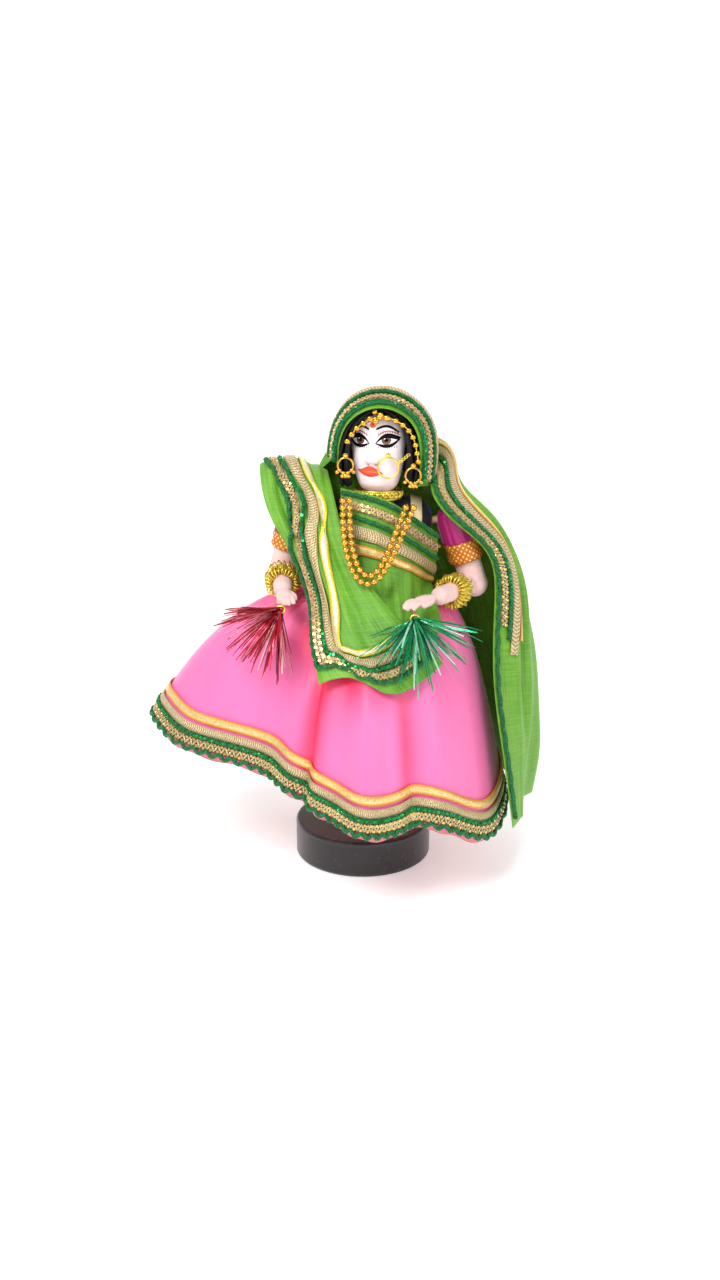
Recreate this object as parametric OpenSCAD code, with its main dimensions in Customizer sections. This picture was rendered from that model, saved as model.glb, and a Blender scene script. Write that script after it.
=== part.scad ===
// Rajasthani kathputli doll on a turned stand.
// Millimetres, +Z up. The origin is the centre of the stand's underside and the doll faces -Y,
// so the doll's left hand is on the +X side.

/* [Stand] */
// Diameter of the round stand
base_d = 58; // [50:1:80]
// Thickness of the stand
base_h = 15.5; // [10:0.5:25]
// Radius of the rounded rims of the stand
base_round = 1.2; // [0.4:0.1:2.5]
// Diameter of the dowel that carries the doll
post_d = 6; // [4:0.5:8]
// Depth of the blind hole that holds the dowel in the stand
post_socket = 10; // [4:0.5:9.5]

/* [Doll] */
// Height of the doll's crown of cloth above the stand
doll_h = 184.5; // [150:0.5:230]
// Running play on the diameter of the dowel, neck and shoulder holes
pin_play = 0.1; // [0.05:0.01:0.2]
// Diameter of the neck peg
neck_peg_d = 5; // [3:0.5:6]
// Diameter of the shoulder rod
shoulder_rod_d = 3; // [2:0.5:3.5]
// Radius of the stuffed arm at the shoulder
arm_r = 6; // [4.5:0.1:7]
// Radius of the stuffed arm at the elbow
elbow_r = 5.3; // [4:0.1:6]
// Radius of the stuffed arm at the wrist
wrist_r = 3.6; // [2.5:0.1:4.5]
// Radius of the widest part of the head
head_r = 11.5; // [9:0.1:12]
// How far the middle of the chin lies below the middle of the head
chin_drop = 9.8; // [8:0.1:11]
// How far the middle of the skull lies above the middle of the head
skull_rise = 7; // [5:0.1:8]

/* [Cloth] */
// Thickness of the skirt and veil cloth
cloth_t = 0.6; // [0.3:0.05:1]
// Thickness of the woven ribbons and braids
trim_t = 0.6; // [0.3:0.05:1]
// Gap between one layer and the next
layer_gap = 0.3; // [0.2:0.05:0.6]
// Diameter of the chenille cords
cord_d = 1.8; // [1:0.1:2.2]
// Width of the golden ribbon at the top of the hem trim
hem_ribbon_w = 4; // [2:0.1:6]
// Bare cloth between the hem ribbon and the hem braid
hem_bare_w = 1.6; // [0.5:0.1:3]
// Width of the stitched hem braid
hem_braid_w = 3.2; // [2:0.1:5]
// Width of the zigzag hem lace
hem_lace_w = 3.7; // [2:0.1:5]
// How far the lining hangs below the skirt
lining_drop = 1.5; // [0.5:0.1:3]

/* [Jewellery] */
// Diameter of the beads of the necklaces
bead_d = 2.7; // [2:0.1:3]
// Diameter of the beads in the hair
hair_bead_d = 2.5; // [1.8:0.1:2.8]
// Diameter of the nose ring
nose_ring_d = 8; // [5:0.1:10]
// Diameter of the earring hoops
earring_d = 6; // [4:0.1:7]

/* [Hidden] */
$fn = 48;

// Doll points are written for the nominal doll, with z counted from the top of the stand.
doll_h_nominal = 184.5;
doll_scale = doll_h / doll_h_nominal;
function fit(p) = [p.x * doll_scale, p.y * doll_scale, base_h + p.z * doll_scale];
function fit_all(list) = [for (p = list) fit(p)];

torso_half = 15;
shoulder_z = 131;
shoulder_r = 8 * doll_scale;
waist_z = 102.5;
waist_r = 11 * doll_scale;
skirt_waist_r = waist_r + 2;
rod_z = 130.5;
blouse_gap = 0.1;
blouse_t = 0.9;
// The head stands on the shoulders, clear of the blouse.
neck_rise = 4;
neck = fit([6, -1, shoulder_z]) + [0, 0, shoulder_r + blouse_gap + blouse_t + neck_rise];
post_top = fit([0, 0, 96]).z;
chin_r = 6.5;
jaw_spread = 2;
head_c = neck + [0, -2, chin_drop + chin_r - 1];
// The stuffing swells a little at the shoulder and the elbow.
joint_swell = 0.15;
// The sleeve is cut to the thicker end of the upper arm.
sleeve_gap = 0.1;
sleeve_t = 0.9;
sleeve_r = max(arm_r, elbow_r) + joint_swell + sleeve_gap;
// Each arm hangs beside the blouse, and its joints follow from the shoulder.
left_arm_gap = 1.85;
right_arm_gap = 0.35;
function shoulder(side, gap) = fit([4 + side * torso_half, 0, rod_z])
    + [side * (shoulder_r + blouse_gap + blouse_t + gap + sleeve_r + sleeve_t), 0, 0];
left_shoulder = shoulder(1, left_arm_gap);
right_shoulder = shoulder(-1, right_arm_gap);
waist_line = fit([0, 0, waist_z]).z;
function arm_point(shoulder, x, y, above_waist) =
    [shoulder.x + x * doll_scale, shoulder.y + y * doll_scale, waist_line + above_waist];
left_elbow = arm_point(left_shoulder, 9, 1, 1);
left_wrist = arm_point(left_shoulder, -7, -28, 3);
left_tip = arm_point(left_shoulder, -21, -41, 2);
right_elbow = arm_point(right_shoulder, -5.5, 0, 8.5);
right_wrist = arm_point(right_shoulder, -4.5, -20, 4);
right_tip = arm_point(right_shoulder, -2.5, -31, 1);
seam_gap = 0.05;
// The forearm is sewn on this far from the elbow's stuffing.
elbow_tuck = 0.8;

// Hem of the skirt, counter-clockwise from the doll's left side.
HEM = fit_all([
    [62, 4, 11], [56, 30, 13], [34, 50, 18], [2, 56, 26], [-40, 50, 35], [-74, 34, 42],
    [-92, 12, 45], [-89, -4, 44], [-77, -20, 39], [-61, -26, 37], [-46, -32, 35], [-33, -40, 32],
    [-26, -50, 28], [-16, -57, 24], [-5, -61, 20], [5, -63, 18], [14, -63, 20], [22, -60, 23],
    [34, -56, 18], [46, -47, 9], [56, -32, 5]
]);

// Each net runs down the cloth, and each row runs across it.
PALLU = [
    [[-27, 26, 121], [-24, 28, 122], [-20, 28, 123], [-17, 27, 124], [-15, 24, 126]],
    [[-40, 22, 142], [-34, 25, 144], [-28, 25, 145], [-21, 24, 145], [-15, 20, 144]],
    [[-42, 5, 156], [-35, 5, 159], [-28, 4, 159], [-21, 3, 157], [-15, 1, 153]],
    [[-41, -5, 146], [-34, -9, 147], [-26, -12, 147], [-19, -14, 146], [-12, -14, 144]],
    [[-37, -13, 133], [-29, -16, 133], [-21, -19, 133], [-15, -21, 133], [-9, -21, 133]],
    [[-30, -18, 118], [-24, -21, 118], [-17, -25, 118], [-11, -28, 118], [-4, -29, 119]],
    [[-24, -22, 102], [-17, -28, 102], [-10, -33, 102], [-2, -36, 102], [9, -37, 103]],
    [[-23, -35, 89], [-15, -41, 89], [-7, -45, 89], [4, -47, 90], [22, -43, 93]],
    [[-17, -46, 75], [-4, -48, 81], [9, -53, 71], [20, -50, 75], [31, -41, 82]]
];
CHEST = [
    [[-9, -10, 145], [-1, -15, 144], [9, -17, 142], [18, -15, 136], [30, -6, 126]],
    [[-9, -14, 135], [-1, -19, 134], [9, -21, 130], [20, -18, 123], [30, -5, 114]],
    [[-9, -17, 125], [0, -21, 124], [9, -23, 122], [20, -20, 115], [28, -7, 107]],
    [[-8, -19, 113], [0, -24, 112], [10, -26, 110], [20, -22, 106], [27, -11, 104]],
    [[-6, -27, 103], [3, -32, 102], [11, -34, 101], [20, -31, 99], [28, -21, 100]],
    [[-3, -38.5, 93.5], [4, -40.5, 92.5], [12, -42, 91], [22, -40, 89], [32, -30, 92]]
];
// The veil starts at the nape, round the neck.
NAPE = [[16, 5, -2], [7, 16, -2], [-6, 19, -2], [-15, 17, -3], [-22, 13, -5]];
VEIL = [
    [[28, -9, 142], [45, 5, 145], [18, 22, 138], [-8, 21, 134], [-20, 18, 133]],
    [[44, -10, 137], [62, 4, 134], [38, 25, 124], [-6, 25, 118], [-24, 22, 117]],
    [[55, -6, 118], [71, 4, 111], [52, 30, 102], [-2, 38, 97], [-32, 33, 97]],
    [[54, -4, 92], [76, 3, 87], [64, 34, 81], [0, 52, 73], [-47, 44, 73]],
    [[52, -22, 67], [77, -2, 61], [70, 38, 55], [2, 61, 47], [-54, 54, 49]],
    [[57, -31, 39], [76, -8, 35], [72, 38, 31], [2, 65, 27], [-57, 58, 31]],
    [[61, -35, 10], [72, -12, 10], [70, 38, 11], [2, 65, 13], [-56, 60, 19]]
];
// The hood and the string of hair beads are drawn round the middle of the head, from the doll's left,
// and keep their room over the hair when the head changes.
hair_room = 8;
head_fit = (head_r + hair_room) / (11.5 + hair_room);
HOOD = [
    [[16, 20, -12], [16, 21, 2], [11, 20, 12], [1, 20, 18], [-8, 20, 12], [-12, 21, 2], [-13, 20, -6]],
    [[22, 8, -14], [24, 9, 4], [17, 10, 19], [1, 10, 26], [-13, 10, 20], [-19, 9, 7], [-20, 8, -3]],
    [[22, -2, -14], [25, -3, 4], [18, -4, 20], [1, -5, 27], [-14, -4, 20], [-19, -3, 7], [-20, -2, -3]],
    [[16, -6, -14], [17, -10, 3], [13, -14, 14], [0, -17, 20], [-12, -14, 14], [-16, -10, 4], [-16, -6, -5]]
] * head_fit;
// Each tinsel bunch is drawn from the tip of its hand.
GREEN_FAN = [
    [[1, -3, -3], [3, -4, -4], [5, -4, -4], [7, -3, -3]],
    [[-3, -10, -11], [3, -12, -13], [10, -11, -13], [17, -8, -11]],
    [[-8, -13, -19], [3, -16, -26], [15, -13, -23], [29, -7, -17]]
];
RED_FAN = [
    [[-4, -3, 0], [-3, -4, -2], [-2, -5, -3], [-1, -5, -3]],
    [[-12, -5, 1], [-10, -8, -5], [-6, -10, -9], [-2, -11, -9]],
    [[-22, -4, 3], [-18, -9, -13], [-7, -12, -22], [0, -13, -16]]
];
INNER_STRING = [
    [-5, -20, 143], [-5, -24.5, 134], [-4, -31, 123.5], [0, -35.5, 114.5], [5.5, -34, 115.5],
    [10.5, -28.5, 127], [16.5, -19.5, 140]
];
OUTER_STRING = [
    [-8, -20, 143], [-8, -25, 134], [-7, -31.5, 122], [-1.5, -37, 111], [6, -35.5, 112],
    [13.5, -29.5, 126], [20, -19.5, 140]
];
HAIR_STRING = [
    [15.5, -10, -3.5], [14.5, -10, 3], [12.5, -11.5, 8.5], [7, -13.5, 13], [0, -14.5, 15],
    [-8.5, -12.5, 11], [-12.2, -10.5, 4.5]
] * head_fit;

// Uniform cubic B-spline through a list of control points.
function spline_point(p, i, loop) =
    loop ? p[(i + len(p)) % len(p)]
    : i < 0 ? 2 * p[0] - p[1]
    : i >= len(p) ? 2 * p[len(p) - 1] - p[len(p) - 2]
    : p[i];
function curve(p, s, loop = false) =
    let (spans = loop ? len(p) : len(p) - 1)
    let (k = min(floor(s * spans), spans - 1))
    let (t = s * spans - k)
    (pow(1 - t, 3) * spline_point(p, k - 1, loop)
    + (3 * pow(t, 3) - 6 * t * t + 4) * spline_point(p, k, loop)
    + (1 + 3 * t + 3 * t * t - 3 * pow(t, 3)) * spline_point(p, k + 1, loop)
    + pow(t, 3) * spline_point(p, k + 2, loop)) / 6;

function unit(v) = v / norm(v);
function net_at(net, u, v) = curve([for (row = net) curve(row, u)], v);
function net_normal(net, u, v) =
    let (a = min(u, 0.99), b = min(v, 0.99))
    let (p = net_at(net, a, b))
    unit(cross(net_at(net, a, b + 0.01) - p, net_at(net, a + 0.01, b) - p));
function net_off(net, u, v, off) = net_at(net, u, v) + off * net_normal(net, u, v);
function net_skin(net, us, vs, off) = [for (v = vs) [for (u = us) net_off(net, u, v, off)]];
function steps(a, b, n) = [for (i = [0:n]) a + (b - a) * i / n];
function fit_net(net) = [for (row = net) fit_all(row)];

// A closed solid between two grids of points that have the same shape.
module slab(outer, inner, loop = false) {
    rows = len(outer);
    cols = len(outer[0]);
    last = loop ? cols : cols - 1;
    function o(i, j) = j * cols + i % cols;
    function n(i, j) = rows * cols + o(i, j);
    function quad(a, b, c, d) = [[a, b, c], [a, c, d]];
    faces = [
        for (j = [0:rows - 2], i = [0:last - 1])
            each quad(o(i, j), o(i + 1, j), o(i + 1, j + 1), o(i, j + 1)),
        for (j = [0:rows - 2], i = [0:last - 1])
            each quad(n(i, j), n(i, j + 1), n(i + 1, j + 1), n(i + 1, j)),
        for (i = [0:last - 1]) each quad(o(i + 1, 0), o(i, 0), n(i, 0), n(i + 1, 0)),
        for (i = [0:last - 1])
            each quad(o(i, rows - 1), o(i + 1, rows - 1), n(i + 1, rows - 1), n(i, rows - 1)),
        if (!loop) for (j = [0:rows - 2]) each quad(o(0, j), o(0, j + 1), n(0, j + 1), n(0, j)),
        if (!loop) for (j = [0:rows - 2])
            each quad(o(last, j + 1), o(last, j), n(last, j), n(last, j + 1))
    ];
    polyhedron([for (row = outer) each row, for (row = inner) each row], faces);
}

// A round cord swept along points, each with its own sideways direction.
cord_sides = 6;
module cord(points, sides, d, loop = false) {
    count = len(points);
    last = loop ? count : count - 1;
    function tangent(k) = unit(points[loop ? (k + 1) % count : min(k + 1, count - 1)]
        - points[loop ? (k + count - 1) % count : max(k - 1, 0)]);
    function across(k) = unit(cross(tangent(k), sides[k]));
    rings = [for (k = [0:count - 1]) for (a = [0:cord_sides - 1])
        let (turn = 360 * a / cord_sides, b = across(k), n = unit(cross(b, tangent(k))))
        points[k] + d / 2 * (cos(turn) * n + sin(turn) * b)];
    function at(k, a) = (k % count) * cord_sides + a % cord_sides;
    faces = [
        for (k = [0:last - 1], a = [0:cord_sides - 1])
            each [[at(k, a), at(k + 1, a), at(k + 1, a + 1)], [at(k, a), at(k + 1, a + 1), at(k, a + 1)]],
        if (!loop) [for (a = [0:cord_sides - 1]) at(0, a)],
        if (!loop) [for (a = [cord_sides - 1:-1:0]) at(count - 1, a)]
    ];
    polyhedron(rings, faces);
}

// Cloth, ribbon and cord laid on a net.
module net_cloth(net, nu, nv) {
    us = steps(0, 1, nu);
    vs = steps(0, 1, nv);
    slab(net_skin(net, us, vs, 0), net_skin(net, us, vs, -cloth_t));
}
module net_trim(net, us, vs) {
    slab(net_skin(net, us, vs, layer_gap + trim_t), net_skin(net, us, vs, layer_gap));
}
module net_cord(net, path) {
    cord([for (q = path) net_off(net, q[0], q[1], layer_gap + cord_d / 2)],
        [for (q = path) net_normal(net, q[0], q[1])], cord_d);
}

/* Stand */
module base_disc() {
    color([0.06, 0.06, 0.07]) difference() {
        rotate_extrude($fn = 96) difference() {
            square([base_d / 2, base_h]);
            for (z = [0, base_h]) translate([base_d / 2, z]) difference() {
                square(2 * base_round, center = true);
                translate([-base_round, z == 0 ? base_round : -base_round]) circle(base_round);
            }
        }
        translate([0, 0, base_h - post_socket]) cylinder(d = post_d, h = post_socket + 1);
    }
}
module post() {
    color("burlywood") translate([0, 0, base_h - post_socket])
        cylinder(d = post_d, h = post_top - base_h + post_socket);
}

/* Body */
module torso_form(grow) {
    hull() {
        for (side = [-1, 1]) translate(fit([4 + side * torso_half, 0, shoulder_z]))
            sphere(shoulder_r + grow, $fn = 32);
        translate(fit([4, -3, 121])) sphere(waist_r + grow, $fn = 32);
        translate(fit([4, 0, waist_z])) cylinder(r = waist_r + grow, h = 2, $fn = 32);
    }
}
module shoulder_bore(d) {
    translate(fit([-60, 0, rod_z])) rotate([0, 90, 0]) cylinder(d = d, h = 120 * doll_scale);
}
module body_core() {
    hip_z = 72;
    neck_r = 4.5;
    color("wheat") difference() {
        union() {
            torso_form(0);
            translate(fit([4, 0, hip_z])) cylinder(r = waist_r, h = (waist_z - hip_z) * doll_scale + 1);
            translate([neck.x, neck.y, neck.z - 14]) cylinder(r = neck_r, h = 13);
        }
        translate([0, 0, base_h]) cylinder(d = post_d + pin_play, h = post_top - base_h);
        translate([neck.x, neck.y, neck.z - 10]) cylinder(d = neck_peg_d, h = 11);
        shoulder_bore(shoulder_rod_d);
    }
}
module shoulder_rod() {
    color("burlywood") translate([right_shoulder.x - arm_r, right_shoulder.y, right_shoulder.z])
        rotate([0, 90, 0]) cylinder(d = shoulder_rod_d, h = left_shoulder.x - right_shoulder.x + 2 * arm_r);
}
neck_peg_top = head_c.z;
module neck_peg() {
    color("burlywood") translate([neck.x, neck.y, neck.z - 10])
        cylinder(d = neck_peg_d, h = neck_peg_top - neck.z + 10);
}
module blouse() {
    color([0.05, 0.04, 0.07]) difference() {
        torso_form(blouse_gap + blouse_t);
        torso_form(blouse_gap);
        translate(fit([4, 0, waist_z - 20])) cylinder(r = 40, h = 20 * doll_scale + 1.5);
        shoulder_bore(shoulder_rod_d + 1);
        translate([neck.x, neck.y, neck.z - 12]) cylinder(r = 7.5, h = 20);
    }
}
module blouse_strap() {
    strap_w = 4.5;
    color("cornsilk") intersection() {
        difference() {
            torso_form(blouse_gap + blouse_t + 0.8);
            torso_form(blouse_gap + blouse_t + 0.1);
        }
        translate(fit([19, -20, 118])) cube([strap_w, 40 * doll_scale, 40 * doll_scale]);
    }
}
module waist_cord() {
    ring_r = waist_r + 0.2 + cord_d / 2;
    color("deeppink") translate(fit([4, 0, waist_z - 5])) rotate_extrude()
        translate([ring_r, 0]) circle(d = cord_d);
}
module choker() {
    choker_r = 9;
    choker_h = 3;
    color("gold") translate([neck.x, neck.y - 2, neck.z - choker_h - 0.5]) difference() {
        cylinder(r = choker_r + 1, h = choker_h);
        translate([0, 0, -1]) cylinder(r = choker_r, h = choker_h + 2);
    }
}

/* Skirt */
// The skirt rolls out of the waist ring and falls to the hem line, sooner on its lifted side.
skirt_roll = 0.65;
function skirt_fall(a) = 1.85 + 0.25 * cos(a);
function skirt_at(u, v) =
    let (h = curve(HEM, u, true), waist = fit([4, 0, waist_z]))
    let (a = atan2(h.y - waist.y, h.x - waist.x), out = pow(v, skirt_roll), fall = pow(v, skirt_fall(a)))
    let (w = waist + skirt_waist_r * [cos(a), sin(a), 0])
    [w.x + (h.x - w.x) * out, w.y + (h.y - w.y) * out, w.z + (h.z - w.z) * fall];
function skirt_normal(u, v) =
    let (p = skirt_at(u, v))
    unit(cross(skirt_at(u, v + 0.004) - p, skirt_at((u + 0.004) % 1, v) - p));
function skirt_off(u, v, off) = skirt_at(u, v) + off * skirt_normal(u, v);
// Place on the skirt that lies a given length above the hem.
function above_hem(u, length) = 1 - 0.01 * length / norm(skirt_at(u, 1) - skirt_at(u, 0.99));

edge_gap = 0.3;
hem_cord_low = edge_gap + cord_d / 2;
hem_lace_low = edge_gap + cord_d + edge_gap;
hem_cord_high = hem_lace_low + hem_lace_w + edge_gap + cord_d / 2;
hem_braid_low = hem_cord_high + cord_d / 2 + edge_gap;
hem_ribbon_low = hem_braid_low + hem_braid_w + hem_bare_w;
hem_lines = [
    hem_ribbon_low + hem_ribbon_w, hem_ribbon_low, hem_braid_low + hem_braid_w, hem_braid_low,
    hem_lace_low + hem_lace_w, hem_lace_low, 0
];
skirt_turns = 72;
skirt_rows = 8;
function round_us() = [for (i = [0:skirt_turns - 1]) i / skirt_turns];
function skirt_ring(length, off) = [for (u = round_us()) skirt_off(u, above_hem(u, length), off)];
function upper_ring(j, off) = [for (u = round_us())
    skirt_off(u, above_hem(u, hem_lines[0]) * pow(j / skirt_rows, 1.5), off)];
function skirt_grid(first, off, drop) = [
    for (j = [first:skirt_rows - 1]) upper_ring(j, off),
    for (k = [0:len(hem_lines) - 2]) skirt_ring(hem_lines[k], off),
    skirt_ring(-drop, off)
];
module skirt() {
    color("hotpink") slab(skirt_grid(0, 0, 0), skirt_grid(0, -cloth_t, 0), true);
}
module petticoat() {
    inset = cloth_t + 1.2;
    color("salmon")
        slab(skirt_grid(2, -inset, lining_drop), skirt_grid(2, -inset - cloth_t, lining_drop), true);
}
module hem_band(high, low) {
    slab([for (l = [high, low]) skirt_ring(l, layer_gap + trim_t)],
        [for (l = [high, low]) skirt_ring(l, layer_gap)], true);
}
module hem_cord(length) {
    cord(skirt_ring(length, layer_gap + cord_d / 2),
        [for (u = round_us()) skirt_normal(u, above_hem(u, length))], cord_d, true);
}
module hem_ribbon() { color("khaki") hem_band(hem_lines[0], hem_lines[1]); }
module hem_braid() { color("tan") hem_band(hem_lines[2], hem_lines[3]); }
module hem_lace() { color("wheat") hem_band(hem_lines[4], hem_lines[5]); }
module hem_cord_upper() { color("darkgreen") hem_cord(hem_cord_high); }
module hem_cord_lower() { color("darkgreen") hem_cord(hem_cord_low); }

/* Veil over the shoulder */
pallu_net = fit_net(PALLU);
pallu_rows = 24;
// Its border runs down the outer edge, past a loose wing of bare silk over the sleeve, and turns
// above the hanging lower edge. Each trim keeps its own distance in from the border's outer line.
wing_w = 8;
wing_place = 0.43;
wing_reach = 0.12;
hanging_w = 4;
border_end = 0.85;
function pallu_u(in, v) =
    (in + wing_w * exp(-pow((v - wing_place) / wing_reach, 2))) * doll_scale
    / norm(net_at(pallu_net, 1, v) - net_at(pallu_net, 0, v));
function pallu_v(in, u) =
    1 - 0.05 * (in + hanging_w) * doll_scale / norm(net_at(pallu_net, u, 0.95) - net_at(pallu_net, u, 0.9));
// The corner of a trim, where it turns from the outer edge to the lower one.
function corner_v(in) = pallu_v(in, pallu_u(in, 0.9));
function border_down(in) = [for (s = steps(0, 1, pallu_rows))
    let (v = s * corner_v(in)) [pallu_u(in, v), v]];
function border_along(in) = [for (s = steps(0.1, 1, 9))
    let (corner = pallu_u(in, corner_v(in)), u = corner + (border_end - corner) * s) [u, pallu_v(in, u)]];
function border(in) = concat(border_down(in), border_along(in));
module border_strip(from, to) {
    low = border(from);
    high = border(to);
    function skin(off) = [for (k = [0:len(low) - 1])
        [for (q = [low[k], high[k]]) net_off(pallu_net, q[0], q[1], off)]];
    slab(skin(layer_gap + trim_t), skin(layer_gap));
}
module pallu() { color("yellowgreen") net_cloth(pallu_net, 10, pallu_rows); }
module pallu_cord_outer() { color("darkgreen") net_cord(pallu_net, border_down(1.1)); }
module pallu_lace() { color("wheat") border_strip(3.1, 6); }
module pallu_cord_inner() { color("darkgreen") net_cord(pallu_net, border(7.7)); }
module pallu_braid() { color("tan") border_strip(9.3, 13.2); }
module pallu_ribbon() { color("gold") border_strip(14.4, 17.4); }
module pallu_cord_bottom() { color("darkgreen") net_cord(pallu_net, border_along(1.1)); }

/* Veil across the chest */
chest_net = fit_net(CHEST);
chest_cols = 12;
module chest_strip(v0, v1) {
    net_trim(chest_net, steps(0.04, 1, chest_cols), [v0, v1]);
}
module chest_cord(v) {
    net_cord(chest_net, [for (u = steps(0.04, 1, chest_cols)) [u, v]]);
}
module chest_wrap() { color("yellowgreen") net_cloth(chest_net, chest_cols, 12); }
module wrap_cord_upper() { color("darkgreen") chest_cord(0.03); }
module wrap_lace() { color("wheat") chest_strip(0.08, 0.15); }
module wrap_cord_lower() { color("darkgreen") chest_cord(0.2); }
module wrap_braid() { color("tan") chest_strip(0.25, 0.35); }
module wrap_ribbon() { color("khaki") chest_strip(0.39, 0.46); }

/* Veil down the back */
veil_net = concat([[for (p = NAPE) neck + p]], fit_net(VEIL));
module veil_back() { color("olivedrab") net_cloth(veil_net, 16, 20); }
module veil_cord() {
    color("darkgreen") net_cord(veil_net, [for (v = steps(0.12, 0.99, 20)) [0.02, v]]);
}
module veil_braid() {
    color("tan") net_trim(veil_net, [0.05, 0.1], steps(0.1, 0.98, 20));
}

/* Head, in its own frame round head_c */
module at_head() { translate(head_c) children(); }
module head_form(grow) {
    hull() {
        translate([0, -1, skull_rise]) sphere(head_r + grow, $fn = 32);
        translate([0, 4, skull_rise - 1]) sphere(head_r - 0.5 + grow, $fn = 32);
        translate([0, -2.2, -3.5]) sphere(0.9 * head_r + grow, $fn = 32);
        for (side = [-1, 1]) translate([side * jaw_spread, -5.5, -chin_drop])
            sphere(chin_r + grow, $fn = 32);
    }
}
module head() {
    color("mistyrose") difference() {
        at_head() head_form(0);
        translate([neck.x, neck.y, neck.z]) cylinder(d = neck_peg_d + pin_play, h = neck_peg_top - neck.z);
        pin_shaft(nostril, nose_pin_l);
    }
}
hair_gap = 0.1;
hair_t = 1.4;
module hair() {
    color([0.03, 0.03, 0.03]) difference() {
        hair_form();
        for (ear = [left_ear, right_ear]) pin_shaft(ear, ear_pin_l);
    }
}
module hair_form() {
    lock_r = 3;
    at_head() difference() {
        union() {
            head_form(hair_gap + hair_t);
            for (side = [-1, 1]) hull() {
                translate([side * head_r, -4, 2]) sphere(lock_r, $fn = 24);
                translate([side * (head_r + 0.5), -5, -chin_drop - 2]) sphere(lock_r - 0.8, $fn = 24);
            }
        }
        head_form(hair_gap);
        hull() {
            translate([0, -20, -chin_drop - 11]) cube([1.75 * head_r, 36, 20], center = true);
            translate([0, -40, skull_rise - 3]) rotate([-90, 0, 0]) cylinder(r = head_r - 0.7, h = 36);
        }
        translate([0, 0, -chin_drop - 18]) cube([1.75 * head_r, 40, 40], center = true);
    }
}
hood_net = [for (row = HOOD) [for (p = row) head_c + p]];
hood_cols = 20;
module hood_strip(v0, v1) {
    net_trim(hood_net, steps(0.02, 0.98, hood_cols), [v0, v1]);
}
module hood() { color("yellowgreen") net_cloth(hood_net, hood_cols, 8); }
module hood_cord() {
    color("darkgreen") net_cord(hood_net, [for (u = steps(0.02, 0.98, hood_cols)) [u, 0.95]]);
}
module hood_lace() { color("wheat") hood_strip(0.8, 0.9); }
module hood_braid() { color("tan") hood_strip(0.64, 0.76); }

// Beads evenly threaded along a path of control points, apart by a fifth of their width.
path_steps = 60;
function lengths_along(path, i = 0, sum = 0) =
    i > path_steps ? []
    : let (here = curve(path, i / path_steps), next = curve(path, min(1, (i + 1) / path_steps)))
    concat([[sum, i / path_steps]], lengths_along(path, i + 1, sum + norm(next - here)));
module bead_string(path, d) {
    table = lengths_along(path);
    total = table[path_steps][0];
    count = floor(total / (1.2 * d));
    for (i = [0:count]) translate(curve(path, lookup(total * i / count, table))) sphere(d = d, $fn = 20);
}

module forehead_beads() {
    color("goldenrod") at_head() for (side = [-1, 1])
        translate([side * 0.75 * hair_bead_d, -14.5, 10]) sphere(d = hair_bead_d, $fn = 20);
}
module hair_beads() {
    color("goldenrod") at_head() bead_string(HAIR_STRING, hair_bead_d);
}
module necklace_inner() {
    color("goldenrod") bead_string(fit_all(INNER_STRING), bead_d);
}
module necklace_outer() {
    color("goldenrod") bead_string(fit_all(OUTER_STRING), bead_d);
}

// A thin ring under an eyelet that swings on a pin, both square to Y.
jewel_pin_d = 0.7;
pin_ease = 0.2;
eyelet_r = 1;
module hanging_ring(d, wire) {
    rotate([90, 0, 0]) difference() {
        union() {
            cylinder(r = eyelet_r, h = wire + 0.3, center = true);
            translate([0, 0.15 - eyelet_r - d / 2, 0]) rotate_extrude()
                translate([d / 2, 0]) circle(d = wire, $fn = 16);
        }
        cylinder(d = jewel_pin_d + pin_ease, h = 4 * wire, center = true);
    }
}
left_ear = head_c + [head_r + 2, -11, -5];
right_ear = head_c + [-head_r - 1.5, -11, -1];
nostril = head_c + [3.6, -head_r - 2.5, -0.5];
// How far each pin runs back from its ring, into the hair or the nostril.
ear_pin_l = 6;
nose_pin_l = 3;
module pin_shaft(place, length) {
    translate(place) rotate([-90, 0, 0]) cylinder(d = jewel_pin_d, h = length);
}
module jewel_pin(place, length) {
    head_gap = 0.6;
    translate([0, -head_gap, 0]) {
        pin_shaft(place, length + head_gap);
        translate(place - [0, 0.5, 0]) sphere(d = 1.4, $fn = 20);
    }
}
module jewel_pins() {
    color("gold") {
        jewel_pin(left_ear, ear_pin_l);
        jewel_pin(right_ear, ear_pin_l);
        jewel_pin(nostril, nose_pin_l);
    }
}
earring_wire = 0.8;
module earring(place) {
    bob_d = 2.4;
    color("goldenrod") translate(place) {
        hanging_ring(earring_d, earring_wire);
        translate([0, 0, -eyelet_r - earring_d - bob_d / 2 + 0.3]) sphere(d = bob_d, $fn = 20);
    }
}
module left_earring() { earring(left_ear); }
module right_earring() { earring(right_ear); }
nose_wire = 0.7;
module nose_ring() {
    color("gold") translate(nostril) hanging_ring(nose_ring_d, nose_wire);
}

/* Arms */
// A round rod from one point to another.
module limb(a, b, r1, r2) {
    d = b - a;
    translate(a) rotate([0, acos(d.z / norm(d)), atan2(d.y, d.x)]) cylinder(r1 = r1, r2 = r2, h = norm(d));
}
module upper_arm(shoulder, elbow) {
    color("mistyrose") difference() {
        union() {
            translate(shoulder) sphere(arm_r + joint_swell);
            limb(shoulder, elbow, arm_r, elbow_r);
            translate(elbow) sphere(elbow_r + joint_swell);
        }
        shoulder_bore(shoulder_rod_d + pin_play);
    }
}
cuff_from = 0.3;
cuff_to = 0.62;
module sleeve_shell(shoulder, elbow, from, to, thick) {
    a = shoulder + (elbow - shoulder) * from;
    b = shoulder + (elbow - shoulder) * to;
    difference() {
        limb(a, b, sleeve_r + thick, sleeve_r + thick);
        limb(a - (b - a) * 0.1, b + (b - a) * 0.1, sleeve_r, sleeve_r);
    }
}
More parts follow.
